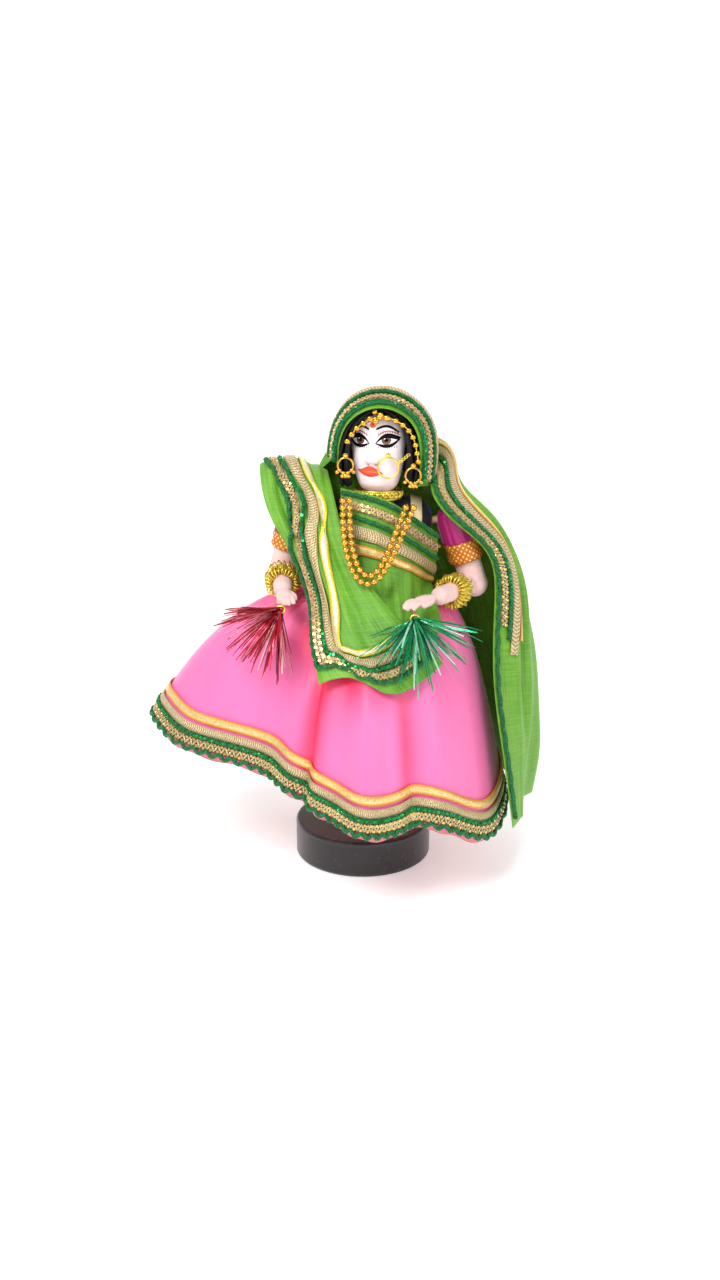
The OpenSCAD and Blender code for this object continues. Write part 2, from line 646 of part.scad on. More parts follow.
module sleeve(shoulder, elbow) {
    sleeve_end = shoulder + (elbow - shoulder) * (cuff_from - 0.01);
    color("mediumvioletred") difference() {
        union() {
            translate(shoulder) sphere(sleeve_r + sleeve_t + joint_swell);
            limb(shoulder, sleeve_end, sleeve_r + sleeve_t, sleeve_r + sleeve_t);
        }
        translate(shoulder) sphere(sleeve_r + joint_swell);
        limb(shoulder, elbow, sleeve_r, sleeve_r);
        shoulder_bore(shoulder_rod_d + 1);
    }
}
module cuff(shoulder, elbow) {
    color("orange") sleeve_shell(shoulder, elbow, cuff_from, cuff_to, sleeve_t + 0.3);
}
function forearm_r(elbow_r) = elbow_r - 1.3;
module forearm(elbow, wrist) {
    along = unit(wrist - elbow);
    start = elbow + (elbow_r + elbow_tuck) * along;
    reach = norm(wrist - start);
    lap_r = forearm_r(elbow_r);
    color("mistyrose") translate(start) rotate([0, acos(along.z), atan2(along.y, along.x)])
        rotate_extrude() polygon(concat(
            [[0, 0], [lap_r - 0.8, 0], [lap_r, 0.8]],
            [for (a = [0:15:90]) [wrist_r * cos(a), reach + wrist_r * sin(a)]]
        ));
}
module hand(wrist, tip) {
    palm_end = wrist + (tip - wrist) * 0.62;
    finger_r = 1.1;
    side = unit(cross(tip - wrist, [0, 0, 1]));
    color("mistyrose") difference() {
        union() {
            hull() {
                translate(wrist + (tip - wrist) * 0.15) sphere(2.6, $fn = 24);
                for (s = [-1, 1]) translate(palm_end + s * 2.2 * side) sphere(1.7, $fn = 24);
            }
            for (f = [-1.5:1:1.5])
                limb(palm_end + f * 1.9 * side, tip + f * 2.1 * side - [0, 0, 1], finger_r, finger_r - 0.3);
            limb(wrist + (tip - wrist) * 0.3 - 2 * side, palm_end - 4.5 * side + [0, 0, 0.5],
                finger_r, finger_r);
        }
        translate(wrist) sphere(wrist_r + joint_swell + seam_gap);
        limb(wrist, wrist + (wrist - tip), 9, 9);
    }
}
module bangle(elbow, wrist) {
    along = unit(wrist - elbow);
    place = elbow + (wrist - elbow) * 0.5;
    ring_r = forearm_r(elbow_r) + 0.9;
    petal_d = 2.2;
    petals = 10;
    color("gold") translate(place) rotate([0, acos(along.z), atan2(along.y, along.x)]) {
        rotate_extrude() translate([ring_r, 0]) circle(d = 1.4, $fn = 16);
        for (i = [0:petals - 1]) rotate(360 * i / petals) translate([ring_r + 1, 0, 0])
            sphere(d = petal_d, $fn = 16);
    }
}
module fan(tip, points) {
    net = [for (row = points) [for (p = row) tip + doll_scale * p]];
    fan_t = 2;
    us = steps(0, 1, 6);
    vs = steps(0, 1, 4);
    slab(net_skin(net, us, vs, fan_t), net_skin(net, us, vs, 0));
}

module left_upper_arm() { upper_arm(left_shoulder, left_elbow); }
module left_sleeve() { sleeve(left_shoulder, left_elbow); }
module left_cuff() { cuff(left_shoulder, left_elbow); }
module left_forearm() { forearm(left_elbow, left_wrist); }
module left_hand() { hand(left_wrist, left_tip); }
module left_bangle() { bangle(left_elbow, left_wrist); }
module green_tinsel() { color("green") fan(left_tip, GREEN_FAN); }
module right_upper_arm() { upper_arm(right_shoulder, right_elbow); }
module right_sleeve() { sleeve(right_shoulder, right_elbow); }
module right_cuff() { cuff(right_shoulder, right_elbow); }
module right_forearm() { forearm(right_elbow, right_wrist); }
module right_hand() { hand(right_wrist, right_tip); }
module right_bangle() { bangle(right_elbow, right_wrist); }
module red_tinsel() { color("crimson") fan(right_tip, RED_FAN); }

base_disc();
post();
body_core();
shoulder_rod();
neck_peg();
blouse();
blouse_strap();
waist_cord();
choker();
skirt();
petticoat();
hem_ribbon();
hem_braid();
hem_cord_upper();
hem_lace();
hem_cord_lower();
pallu();
pallu_cord_outer();
pallu_lace();
pallu_cord_inner();
pallu_braid();
pallu_ribbon();
pallu_cord_bottom();
chest_wrap();
wrap_cord_upper();
wrap_lace();
wrap_cord_lower();
wrap_braid();
wrap_ribbon();
veil_back();
veil_cord();
veil_braid();
necklace_inner();
necklace_outer();
head();
hair();
hood();
hood_cord();
hood_lace();
hood_braid();
forehead_beads();
hair_beads();
jewel_pins();
left_earring();
right_earring();
nose_ring();
left_upper_arm();
left_sleeve();
left_cuff();
left_forearm();
left_hand();
left_bangle();
green_tinsel();
right_upper_arm();
right_sleeve();
right_cuff();
right_forearm();
right_hand();
right_bangle();
red_tinsel();
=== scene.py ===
"""A Rajasthani kathputli doll on its round stand: cloth, trims, jewellery, face and stage round its frame."""

import math
import random

import bmesh
import bpy
import numpy as np
from mathutils import Matrix, Vector, noise
from mathutils.bvhtree import BVHTree


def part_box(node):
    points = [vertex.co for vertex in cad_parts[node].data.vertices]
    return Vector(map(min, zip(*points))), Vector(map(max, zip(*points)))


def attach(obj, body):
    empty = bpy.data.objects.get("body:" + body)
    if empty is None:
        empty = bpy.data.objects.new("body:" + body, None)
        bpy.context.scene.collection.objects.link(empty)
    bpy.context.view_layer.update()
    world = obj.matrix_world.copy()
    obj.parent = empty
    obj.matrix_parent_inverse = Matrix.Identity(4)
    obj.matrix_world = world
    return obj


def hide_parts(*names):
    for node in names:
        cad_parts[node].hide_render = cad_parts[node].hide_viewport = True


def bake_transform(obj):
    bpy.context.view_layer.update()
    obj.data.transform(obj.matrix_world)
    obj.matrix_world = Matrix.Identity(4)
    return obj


bl_info = {
    "name": "Kathputli Doll",
    "version": (1, 0, 0),
    "blender": (4, 5, 0),
    "location": "View3D > Sidebar > Doll",
    "description": "Builds the looks of a cloth puppet doll on its stand",
    "category": "Object",
}

MM = 0.001
TURN = 2 * math.pi
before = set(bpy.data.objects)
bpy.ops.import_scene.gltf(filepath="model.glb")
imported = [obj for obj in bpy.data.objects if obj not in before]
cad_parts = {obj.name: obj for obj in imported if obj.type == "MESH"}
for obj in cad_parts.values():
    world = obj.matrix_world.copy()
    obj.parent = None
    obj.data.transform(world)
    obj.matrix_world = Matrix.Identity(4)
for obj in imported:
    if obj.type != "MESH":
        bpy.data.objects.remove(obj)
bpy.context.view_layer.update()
stand_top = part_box("base_disc")[1][2]
head_low, head_high = (Vector(corner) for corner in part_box("head"))


def doll_point(p):
    """A point of the doll in metres, from millimetres with z counted from the top of the stand."""
    return Vector((p[0] * MM, p[1] * MM, p[2] * MM + stand_top))


# Middle of the head, which the hood, the hair and the face are drawn round.
HEAD = doll_point((6, -3, 159.3))

# Hem of the skirt, counter-clockwise from the doll's left side.
HEM = [
    (62, 4, 11), (56, 30, 13), (34, 50, 18), (2, 56, 26), (-40, 50, 35), (-74, 34, 42),
    (-92, 12, 45), (-89, -4, 44), (-77, -20, 39), (-61, -26, 37), (-46, -32, 35), (-33, -40, 32),
    (-26, -50, 28), (-16, -57, 24), (-5, -61, 20), (5, -63, 18), (14, -63, 20), (22, -60, 23),
    (34, -56, 18), (46, -47, 9), (56, -32, 5),
]
WAIST = (4, 0, 102.5)
WAIST_R = 13

# Each net runs down the cloth, and each row runs across it.
PALLU = [
    [(-27, 26, 121), (-24, 28, 122), (-20, 28, 123), (-17, 27, 124), (-15, 24, 126)],
    [(-40, 22, 142), (-34, 25, 144), (-28, 25, 145), (-21, 24, 145), (-15, 20, 144)],
    [(-42, 5, 156), (-35, 5, 159), (-28, 4, 159), (-21, 3, 157), (-15, 1, 153)],
    [(-41, -5, 146), (-34, -9, 147), (-26, -12, 147), (-19, -14, 146), (-12, -14, 144)],
    [(-37, -13, 133), (-29, -16, 133), (-21, -19, 133), (-15, -21, 133), (-9, -21, 133)],
    [(-26.5, -14.5, 118), (-22.5, -20, 118), (-17, -25, 118), (-11, -28, 118), (-4, -29, 119)],
    [(-19.5, -26.5, 102), (-15.5, -29.5, 102), (-10, -33, 102), (-2, -36, 102), (9, -37, 103)],
    [(-20.5, -37, 89), (-15, -41, 89), (-7, -45, 89), (4, -47, 90), (22, -43, 93)],
    [(-17, -46, 75), (-4, -48, 81), (9, -53, 71), (20, -50, 75), (31, -41, 82)],
]
CHEST = [
    [(-9, -10, 145), (-1, -15, 144), (9, -17, 142), (18, -15, 136), (30, -6, 126)],
    [(-9, -14, 135), (-1, -19, 134), (9, -21, 130), (20, -18, 123), (30, -5, 114)],
    [(-9, -17, 125), (0, -21, 124), (9, -23, 122), (20, -20, 115), (28, -7, 107)],
    [(-8, -19, 113), (0, -24, 112), (10, -26, 110), (20, -22, 106), (27, -11, 104)],
    [(-6, -27, 103), (3, -32, 102), (11, -34, 101), (20, -31, 99), (28, -21, 100)],
    [(-3, -38.5, 93.5), (4, -40.5, 92.5), (12, -42, 91), (22, -40, 89), (32, -30, 92)],
]
VEIL = [
    [(25, -13, 144), (45, 5, 145), (18, 22, 138), (-8, 21, 134), (-20, 18, 133)],
    [(36, -15, 131), (62, 3, 134), (38, 25, 124), (-6, 25, 118), (-24, 22, 117)],
    [(54, -10, 119), (71, 3, 111), (52, 30, 102), (-2, 38, 97), (-32, 33, 97)],
    [(54, -4, 92), (76, 3, 87), (64, 34, 81), (0, 52, 73), (-47, 44, 73)],
    [(52, -22, 67), (77, -2, 61), (70, 38, 55), (2, 61, 47), (-54, 54, 49)],
    [(57, -31, 39), (76, -8, 35), (72, 38, 31), (2, 65, 27), (-57, 58, 31)],
    [(61, -35, 10), (72, -12, 10), (70, 38, 11), (2, 65, 13), (-56, 60, 19)],
]
# Where the veil falls loose from the hood to the shoulders.
FALL = [(29, 2, 150), (43, 10, 161), (20, 25, 166), (-20, 16, 165), (-22, 6, 147)]
# The hood is drawn round the middle of the head, from its front edge to the nape.
HOOD = [
    [(16, -6, -14), (17, -10, 3), (13, -14, 14), (0, -17, 20), (-12, -14, 14), (-16, -10, 4), (-16, -6, -5)],
    [(22, -2, -14), (25, -3, 4), (18, -4, 20), (1, -5, 27), (-14, -4, 20), (-19, -3, 7), (-20, -2, -3)],
    [(22, 8, -14), (24, 9, 4), (17, 10, 19), (1, 10, 26), (-13, 10, 20), (-19, 9, 7), (-20, 8, -3)],
    [(20, 14, -14), (19, 19, 2), (11, 20, 12), (1, 20, 16), (-8, 20, 12), (-14, 20, 2), (-17, 17, -6)],
]
INNER_STRING = [
    (-5.4, -20, 143), (-5.4, -24.8, 134), (-4.4, -31.2, 123.2), (-0.4, -35.7, 114), (5.6, -34.3, 115),
    (10.9, -28.8, 126.8), (17, -19.7, 140),
]
OUTER_STRING = [
    (-8, -20, 143), (-8, -25, 134), (-7, -31.5, 122), (-1.5, -37, 111), (6, -35.5, 112), (13.5, -29.5, 126),
    (20, -19.5, 140),
]
HAIR_STRING = [
    (15.5, -10, -3.5), (14.5, -10, 3), (12.5, -11.5, 8.5), (7, -13.5, 13), (0, -14.5, 15), (-8.5, -12.5, 11),
    (-12.2, -10.5, 4.5),
]


# ---------------------------------------------------------------------------------------------
# Sizes and colours a user may change
# ---------------------------------------------------------------------------------------------


def size_of(name, text, default, low, high):
    """A length in metres with its limits."""
    return bpy.props.FloatProperty(name=name, description=text, default=default, min=low, max=high, unit="LENGTH")


def colour_of(name, text, default):
    """A colour swatch."""
    return bpy.props.FloatVectorProperty(
        name=name, description=text, default=default, subtype="COLOR", size=3, min=0, max=1
    )


class DollSizes(bpy.types.PropertyGroup):
    """Sizes of the doll's soft parts and jewellery."""

    cloth: size_of("Cloth", "Thickness of the silk and satin", 0.35 * MM, 0.1 * MM, 1 * MM)
    trim: size_of("Trim", "Thickness of the woven trims", 0.5 * MM, 0.2 * MM, 1 * MM)
    gap: size_of("Layer gap", "Gap between a trim and the cloth under it", 0.12 * MM, 0.05 * MM, 0.6 * MM)
    cord: size_of("Cord", "Diameter of the chenille cords", 1.8 * MM, 1 * MM, 3 * MM)
    bead: size_of("Bead", "Diameter of a necklace bead", 2.7 * MM, 1 * MM, 4 * MM)
    hair_bead: size_of("Hair bead", "Diameter of a bead in the hair", 2.6 * MM, 1 * MM, 4 * MM)
    tinsel: size_of("Tinsel", "Length of the tinsel strips", 27 * MM, 10 * MM, 40 * MM)
    strips: bpy.props.IntProperty(name="Strips", description="Strips in a tinsel bunch", default=120, min=10, max=300)


class DollColours(bpy.types.PropertyGroup):
    """Colours of the doll's cloth and paint."""

    skirt: colour_of("Skirt", "Satin of the skirt", (0.98, 0.19, 0.47))
    veil: colour_of("Veil", "Silk of the veil", (0.13, 0.38, 0.02))
    cord: colour_of("Cord", "Chenille cord", (0.0, 0.115, 0.02))
    gold: colour_of("Gold", "Beads and wire", (0.83, 0.47, 0.07))
    skin: colour_of("Skin", "Painted head and cloth arms", (0.93, 0.72, 0.70))
    lips: colour_of("Lips", "Painted lips", (0.80, 0.08, 0.02))


# ---------------------------------------------------------------------------------------------
# Cloth surfaces and curves
# ---------------------------------------------------------------------------------------------


def weights(count, steps, loop=False):
    """Weights of a uniform cubic B-spline's control points at even steps."""
    spans = count if loop else count - 1
    s = np.linspace(0, spans, steps)
    k = np.minimum(s.astype(int), spans - 1)
    t = s - k
    parts = ((1 - t) ** 3, 3 * t**3 - 6 * t**2 + 4, 1 + 3 * t + 3 * t**2 - 3 * t**3, t**3)
    table = np.zeros((steps, count))
    for j, part in enumerate(parts):
        for row, (i, value) in enumerate(zip(k - 1 + j, part / 6)):
            if loop:
                table[row, i % count] += value
            elif i < 0:
                table[row, 0] += 2 * value
                table[row, 1] -= value
            elif i >= count:
                table[row, -1] += 2 * value
                table[row, -2] -= value
            else:
                table[row, i] += value
    return table


def unit(vectors):
    """Vectors of length one."""
    return vectors / np.maximum(np.linalg.norm(vectors, axis=-1, keepdims=True), 1e-12)


def spline(points, steps, loop=False):
    """Even steps along the B-spline of a few control points."""
    return weights(len(points), steps, loop) @ np.array(points, float)


def even(points, count, loop=False):
    """The same path with its points evenly spaced."""
    path = np.vstack([points, points[:1]]) if loop else np.asarray(points)
    length = np.concatenate([[0], np.cumsum(np.linalg.norm(np.diff(path, axis=0), axis=1))])
    at = np.linspace(0, length[-1], count + 1 if loop else count)
    spaced = np.stack([np.interp(at, length, path[:, k]) for k in range(3)], 1)
    return spaced[:-1] if loop else spaced


def path_length(points):
    """Length of a path of points."""
    return float(np.linalg.norm(np.diff(np.asarray(points), axis=0), axis=1).sum())


class Cloth:
    """A sheet of cloth as a dense table of places, read at any (u, v), with its outward side."""

    def __init__(self, places, loop=False, folds=None):
        self.loop = loop
        self.places = places
        self.side = self.sides()
        if folds is not None:
            rows, cols = places.shape[:2]
            end = (cols - 1) / cols if loop else 1
            u, v = np.meshgrid(np.linspace(0, end, cols), np.linspace(0, 1, rows))
            self.places = places + self.side * (folds(u, v) * MM)[..., None]
            self.side = self.sides()

    def sides(self):
        """Outward normals of the table."""
        if self.loop:
            du = np.roll(self.places, -1, 1) - np.roll(self.places, 1, 1)
        else:
            du = np.gradient(self.places, axis=1)
        dv = np.gradient(self.places, axis=0)
        return unit(np.cross(dv, du))

    def read(self, table, u, v):
        """A table's value between its points."""
        rows, cols = table.shape[:2]
        x = (u % 1.0) * cols if self.loop else min(max(u, 0.0), 1.0) * (cols - 1)
        y = min(max(v, 0.0), 1.0) * (rows - 1)
        i, j = int(x), min(int(y), rows - 2)
        i = i % cols if self.loop else min(i, cols - 2)
        k = (i + 1) % cols
        a, b = x - int(x) if self.loop else x - i, y - j
        return (table[j, i] * (1 - a) + table[j, k] * a) * (1 - b) + (
            table[j + 1, i] * (1 - a) + table[j + 1, k] * a
        ) * b

    def at(self, u, v, lift=0.0):
        """The place at (u, v), lifted off the cloth's outward side."""
        return self.read(self.places, u, v) + lift * self.read(self.side, u, v)

    def out(self, u, v):
        """The outward side at (u, v)."""
        return self.read(self.side, u, v)

    def up_from_hem(self, u, length):
        """The v that lies a length in metres above the lower edge at u."""
        step = 0.02
        return 1 - step * length / np.linalg.norm(self.at(u, 1) - self.at(u, 1 - step))


def net_cloth(net, place, steps=200, folds=None):
    """The cloth of a net whose rows may have different numbers of points."""
    rows = np.stack([spline([place(p) for p in row], steps) for row in net])
    table = np.einsum("ij,jkl->ikl", weights(len(net), steps), rows)
    return Cloth(table, folds=folds)


def bump_at(x, centre, width):
    """A smooth bell of height one."""
    return np.exp(-(((x - centre) / width) ** 2))


def skirt_folds(u, v):
    """Lobes and small flutes of the satin, in millimetres."""
    fall = v**1.3
    valley = -4.5 * bump_at(u, 0.578, 0.016) * fall - 2.2 * bump_at(u, 0.80, 0.03) * fall
    lobe = 3.2 * bump_at(u, 0.69, 0.055) * bump_at(v, 0.75, 0.45)
    lobes = 1.5 * np.sin(TURN * 7 * u + 1.0 + 1.2 * v) + 0.8 * np.sin(TURN * 13 * u + 2.2 * v)
    crease = -3.0 * bump_at(u, 0.50 + 0.10 * v, 0.03) * bump_at(v, 0.42 + 1.2 * (u - 0.50), 0.10)
    dimple = -2.2 * bump_at(u, 0.63, 0.035) * bump_at(v, 0.42, 0.16)
    sag = -1.6 * bump_at(u, 0.74, 0.06) * bump_at(v, 0.56, 0.07)
    gathers = 0.7 * np.sin(TURN * 40 * u + 3 * np.sin(TURN * 3 * u)) * bump_at(v, 0.08, 0.24)
    free = 0.35 + 0.65 * (0.5 + 0.5 * np.cos(TURN * (u - 0.68))) ** 2
    return valley + lobe + lobes * fall * free + crease + dimple + sag + gathers


def skirt_cloth(inset=0.0, folds=skirt_folds, steps=(220, 720)):
    """The skirt rolls out of the waist ring and falls to the hem line, sooner on its lifted side."""
    roll = 0.65
    rows, cols = steps
    hem = spline([doll_point(p) for p in HEM], cols + 1, loop=True)[:-1]
    waist = np.array(doll_point(WAIST))
    v = np.linspace(0, 1, rows)[:, None]
    angle = np.arctan2(hem[:, 1] - waist[1], hem[:, 0] - waist[0])
    ring = waist + WAIST_R * MM * np.stack([np.cos(angle), np.sin(angle), 0 * angle], 1)
    out = (v**roll)[..., None]
    down = (v ** (1.85 + 0.25 * np.cos(angle)))[..., None]
    spread = ring + (hem - ring) * out
    table = np.concatenate([spread[..., :2], (ring + (hem - ring) * down)[..., 2:]], axis=2)
    cloth = Cloth(table, loop=True, folds=folds)
    if inset:
        cloth = Cloth(cloth.places - inset * cloth.side, loop=True)
    return cloth


def pallu_folds(u, v):
    """Soft lengthwise pleats of the shoulder end."""
    deep = 0.35 + 0.65 * bump_at(v, 0.62, 0.3)
    wing = -1.2 * bump_at(u, 0.2, 0.05) * bump_at(v, 0.43, 0.14)
    pleats = 0.9 * np.sin(TURN * 2.4 * u + 0.6) + 0.45 * np.sin(TURN * 6 * u + 5 * v)
    return deep * pleats + wing


def chest_folds(u, v):
    """Pleats that fan out below the chest."""
    fan = 1.5 * np.sin(TURN * (2.6 * u + 0.9 * v)) + 0.6 * np.sin(TURN * (6.5 * u - 0.5 * v))
    return fan * np.clip((v - 0.25) / 0.5, 0, 1)


def odhni_folds(u, v):
    """Long folds that start at the nape and open out down the back."""
    fall = np.clip((v - 0.3) / 0.7, 0, 1)
    drift = 0.12 * np.sin(TURN * 0.7 * v)
    long = 2.8 * np.sin(TURN * (4.2 * u + drift)) + 1.6 * np.sin(TURN * (9.1 * u - drift) + 1.1)
    back = np.clip((u - 0.10) / 0.12, 0, 1)
    pinch = -2.5 * bump_at(u, 0.16 + 0.05 * v, 0.02) * bump_at(v, 0.75, 0.14)
    crush = 0.8 * np.sin(TURN * (5 * v + 2 * u)) * np.sin(TURN * 3 * u + 8 * v) * fall * back
    hem_room = 5.0 * bump_at(u, 0.64, 0.13) * bump_at(v, 0.90, 0.17)
    hood = 0.35 * np.sin(TURN * 5 * u + 6 * v) * bump_at(v, 0.26, 0.12)
    return hem_room + long * fall * back + pinch + crush + hood


skirt = skirt_cloth()
pallu = net_cloth(PALLU, doll_point, folds=pallu_folds)
chest = net_cloth(CHEST, doll_point, folds=chest_folds)
hood_rows = [[HEAD + Vector(p) * MM for p in row] for row in HOOD]
veil_rows = [[doll_point(p) for p in row] for row in VEIL]
fall_row = [doll_point(p) for p in FALL]
odhni = net_cloth(hood_rows + [fall_row] + veil_rows, Vector, steps=260, folds=odhni_folds)


# ---------------------------------------------------------------------------------------------
# Mesh making
# ---------------------------------------------------------------------------------------------


def finish_piece(name, bm, material, body, replaces=(), smooth=True):
    """A finished object from a bmesh, riding on its body; a piece given a neck turn is left unattached, its placement
    baked in.
    """
    mesh = bpy.data.meshes.new(name)
    bm.to_mesh(mesh)
    bm.free()
    piece = bpy.data.objects.new(name, mesh)
    bpy.context.scene.collection.objects.link(piece)
    mesh.materials.append(material)
    mesh.polygons.foreach_set("use_smooth", [smooth] * len(mesh.polygons))
    if isinstance(body, tuple):
        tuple(body[2])
        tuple(body[3])
        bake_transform(piece)
    else:
        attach(piece, body)
    if replaces:
        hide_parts(*replaces)
    return piece


def add_grid(bm, cols, rows, place, uv=None, close_u=False, close_v=False, flip=False):
    """A grid of quads laid through place(s, t), its open edges joined where it closes on itself."""
    made = bmesh.ops.create_grid(bm, x_segments=cols, y_segments=rows, size=0.5)["verts"]
    layer = bm.loops.layers.uv.verify()
    spots = {v: (v.co.x + 0.5, v.co.y + 0.5) for v in made}
    faces = {f for v in made for f in v.link_faces}
    for face in faces:
        for loop in face.loops:
            s, t = spots[loop.vert]
            loop[layer].uv = uv(s, t) if uv else (s, t)
    for vert, (s, t) in spots.items():
        vert.co = place(s, t)
    if close_u or close_v:
        bmesh.ops.remove_doubles(bm, verts=made, dist=1e-7)
        faces = {f for f in faces if f.is_valid}
    if flip:
        bmesh.ops.reverse_faces(bm, faces=list(faces))
    return made


def cloth_sheet(bm, cloth, cols, rows, lift=0.0, u=(0.0, 1.0), v=(0.0, 1.0)):
    """A stretch of a cloth as a grid, with UVs in millimetres."""
    wide = path_length([cloth.at(u[0] + (u[1] - u[0]) * k / 40, (v[0] + v[1]) / 2) for k in range(41)])
    tall = path_length([cloth.at((u[0] + u[1]) / 2, v[0] + (v[1] - v[0]) * k / 40) for k in range(41)])

    def place(s, t):
        return cloth.at(u[0] + (u[1] - u[0]) * s, v[0] + (v[1] - v[0]) * t, lift)

    whole = cloth.loop and u[1] - u[0] > 0.999
    add_grid(bm, cols, rows, place, lambda s, t: (s * wide / MM, t * tall / MM), close_u=whole, flip=True)
    return wide, tall


def frames_along(points, normals=None, loop=False):
    """Tangent, normal and side at each point of a path."""
    points = np.asarray(points)
    if loop:
        tangent = unit(np.roll(points, -1, 0) - np.roll(points, 1, 0))
    else:
        tangent = unit(np.gradient(points, axis=0))
    if normals is None:
        first = np.cross(tangent[0], (0.3, 0.5, 0.8))
        normals = [first / np.linalg.norm(first)]
        for k in range(1, len(points)):
            turned = normals[-1] - tangent[k] * np.dot(normals[-1], tangent[k])
            normals.append(turned / np.linalg.norm(turned))
    normals = np.asarray(normals)
    side = unit(np.cross(tangent, normals))
    return tangent, unit(np.cross(side, tangent)), side


def add_tube(bm, points, radius, sides=8, normals=None, loop=False, flat=1.0):
    """A tube along a path, its radius a number or one for each point, its open ends closed."""
    points = np.asarray(points)
    count = len(points)
    radii = np.full(count, radius) if np.isscalar(radius) else np.asarray(radius)
    _, up, side = frames_along(points, normals, loop)
    spans = count if loop else count - 1
    length = path_length(points) / MM

    def place(s, t):
        k = int(round(s * spans)) % count
        turn = TURN * (t % 1.0)
        return points[k] + radii[k] * (math.cos(turn) * flat * up[k] + math.sin(turn) * side[k])

    made = add_grid(bm, spans, sides, place, lambda s, t: (s * length, t), close_u=loop, close_v=True)
    if not loop:
        edges = {e for v in made if v.is_valid for e in v.link_edges if e.is_boundary}
        bmesh.ops.holes_fill(bm, edges=list(edges), sides=0)


def add_beads(bm, centres, radius, detail=2, squash=None):
    """Round beads at each centre."""
    for k, centre in enumerate(centres):
        matrix = Matrix.Translation(Vector(centre))
        if squash is not None:
            matrix = matrix @ squash[k]
        bmesh.ops.create_icosphere(bm, subdivisions=detail, radius=radius, matrix=matrix)


def facing(normal, scale=(1, 1, 1)):
    """A turn that lays a shape's Z along a normal, with a scale on its own axes."""
    turn = Vector(normal).to_track_quat("Z", "Y").to_matrix().to_4x4()
    return turn @ Matrix.Diagonal((*scale, 1))


def add_sequins(bm, spots, radius, thickness=0.18 * MM):
    """Flat round sequins, each given by its place and the way it faces."""
    for place, normal in spots:
        matrix = Matrix.Translation(Vector(place)) @ facing(normal)
        bmesh.ops.create_cone(
            bm, cap_ends=True, segments=9, radius1=radius, radius2=radius * 0.8, depth=thickness, matrix=matrix
        )


def ribbon(bm, cloth, low, high, lift, crown=0.0, cols=160, rows=4, loop=False):
    """A woven ribbon between two (u, v) lines on a cloth, with its UVs along it in millimetres and across."""
    line = [cloth.at(*low(k / 60)) for k in range(61)]
    length = path_length(line) / MM

    def place(s, t):
        a, b = low(s), high(s)
        u, v = a[0] + (b[0] - a[0]) * t, a[1] + (b[1] - a[1]) * t
        return cloth.at(u, v, lift + crown * math.sin(math.pi * t))

    add_grid(bm, cols, rows, place, lambda s, t: (s * length, t), close_u=loop, flip=True)


def cord_line(cloth, line, lift, count):
    """Places and outward sides along an (u, v) line on a cloth."""
    spots = [line(k / (count - 1)) for k in range(count)]
    return np.array([cloth.at(u, v, lift) for u, v in spots]), np.array([cloth.out(u, v) for u, v in spots])


# ---------------------------------------------------------------------------------------------
# Finishes
# ---------------------------------------------------------------------------------------------


class Value:
    """A shader socket that adds Math nodes when it is used in a Python expression."""

    def __init__(self, finish, socket):
        self.finish = finish
        self.socket = socket

    def maths(self, operation, *others, clamp=False):
        """A Math node on this value and others."""
        settings = {"operation": operation, "use_clamp": clamp}
        return self.finish.node("ShaderNodeMath", settings, dict(enumerate((self, *others))))

    def __add__(self, other):
        return self.maths("ADD", other)

    def __sub__(self, other):
        return self.maths("SUBTRACT", other)

    def __rsub__(self, other):
        return self.finish.node("ShaderNodeMath", {"operation": "SUBTRACT"}, {0: other, 1: self})

    def __mul__(self, other):
        return self.maths("MULTIPLY", other)

    def __truediv__(self, other):
        return self.maths("DIVIDE", other)

    def __mod__(self, other):
        return self.maths("FLOORED_MODULO", other)

    __radd__ = __add__
    __rmul__ = __mul__

    def wave(self):
        """Sine of this value, from 0 to 1."""
        return self.maths("SINE") * 0.5 + 0.5

    def band(self, low, high, soft=0.02):
        """One between two limits and nothing outside them."""
        rise = ((self - low) / soft).maths("ADD", 0.5, clamp=True)
        fall = ((high - self) / soft).maths("ADD", 0.5, clamp=True)
        return rise * fall


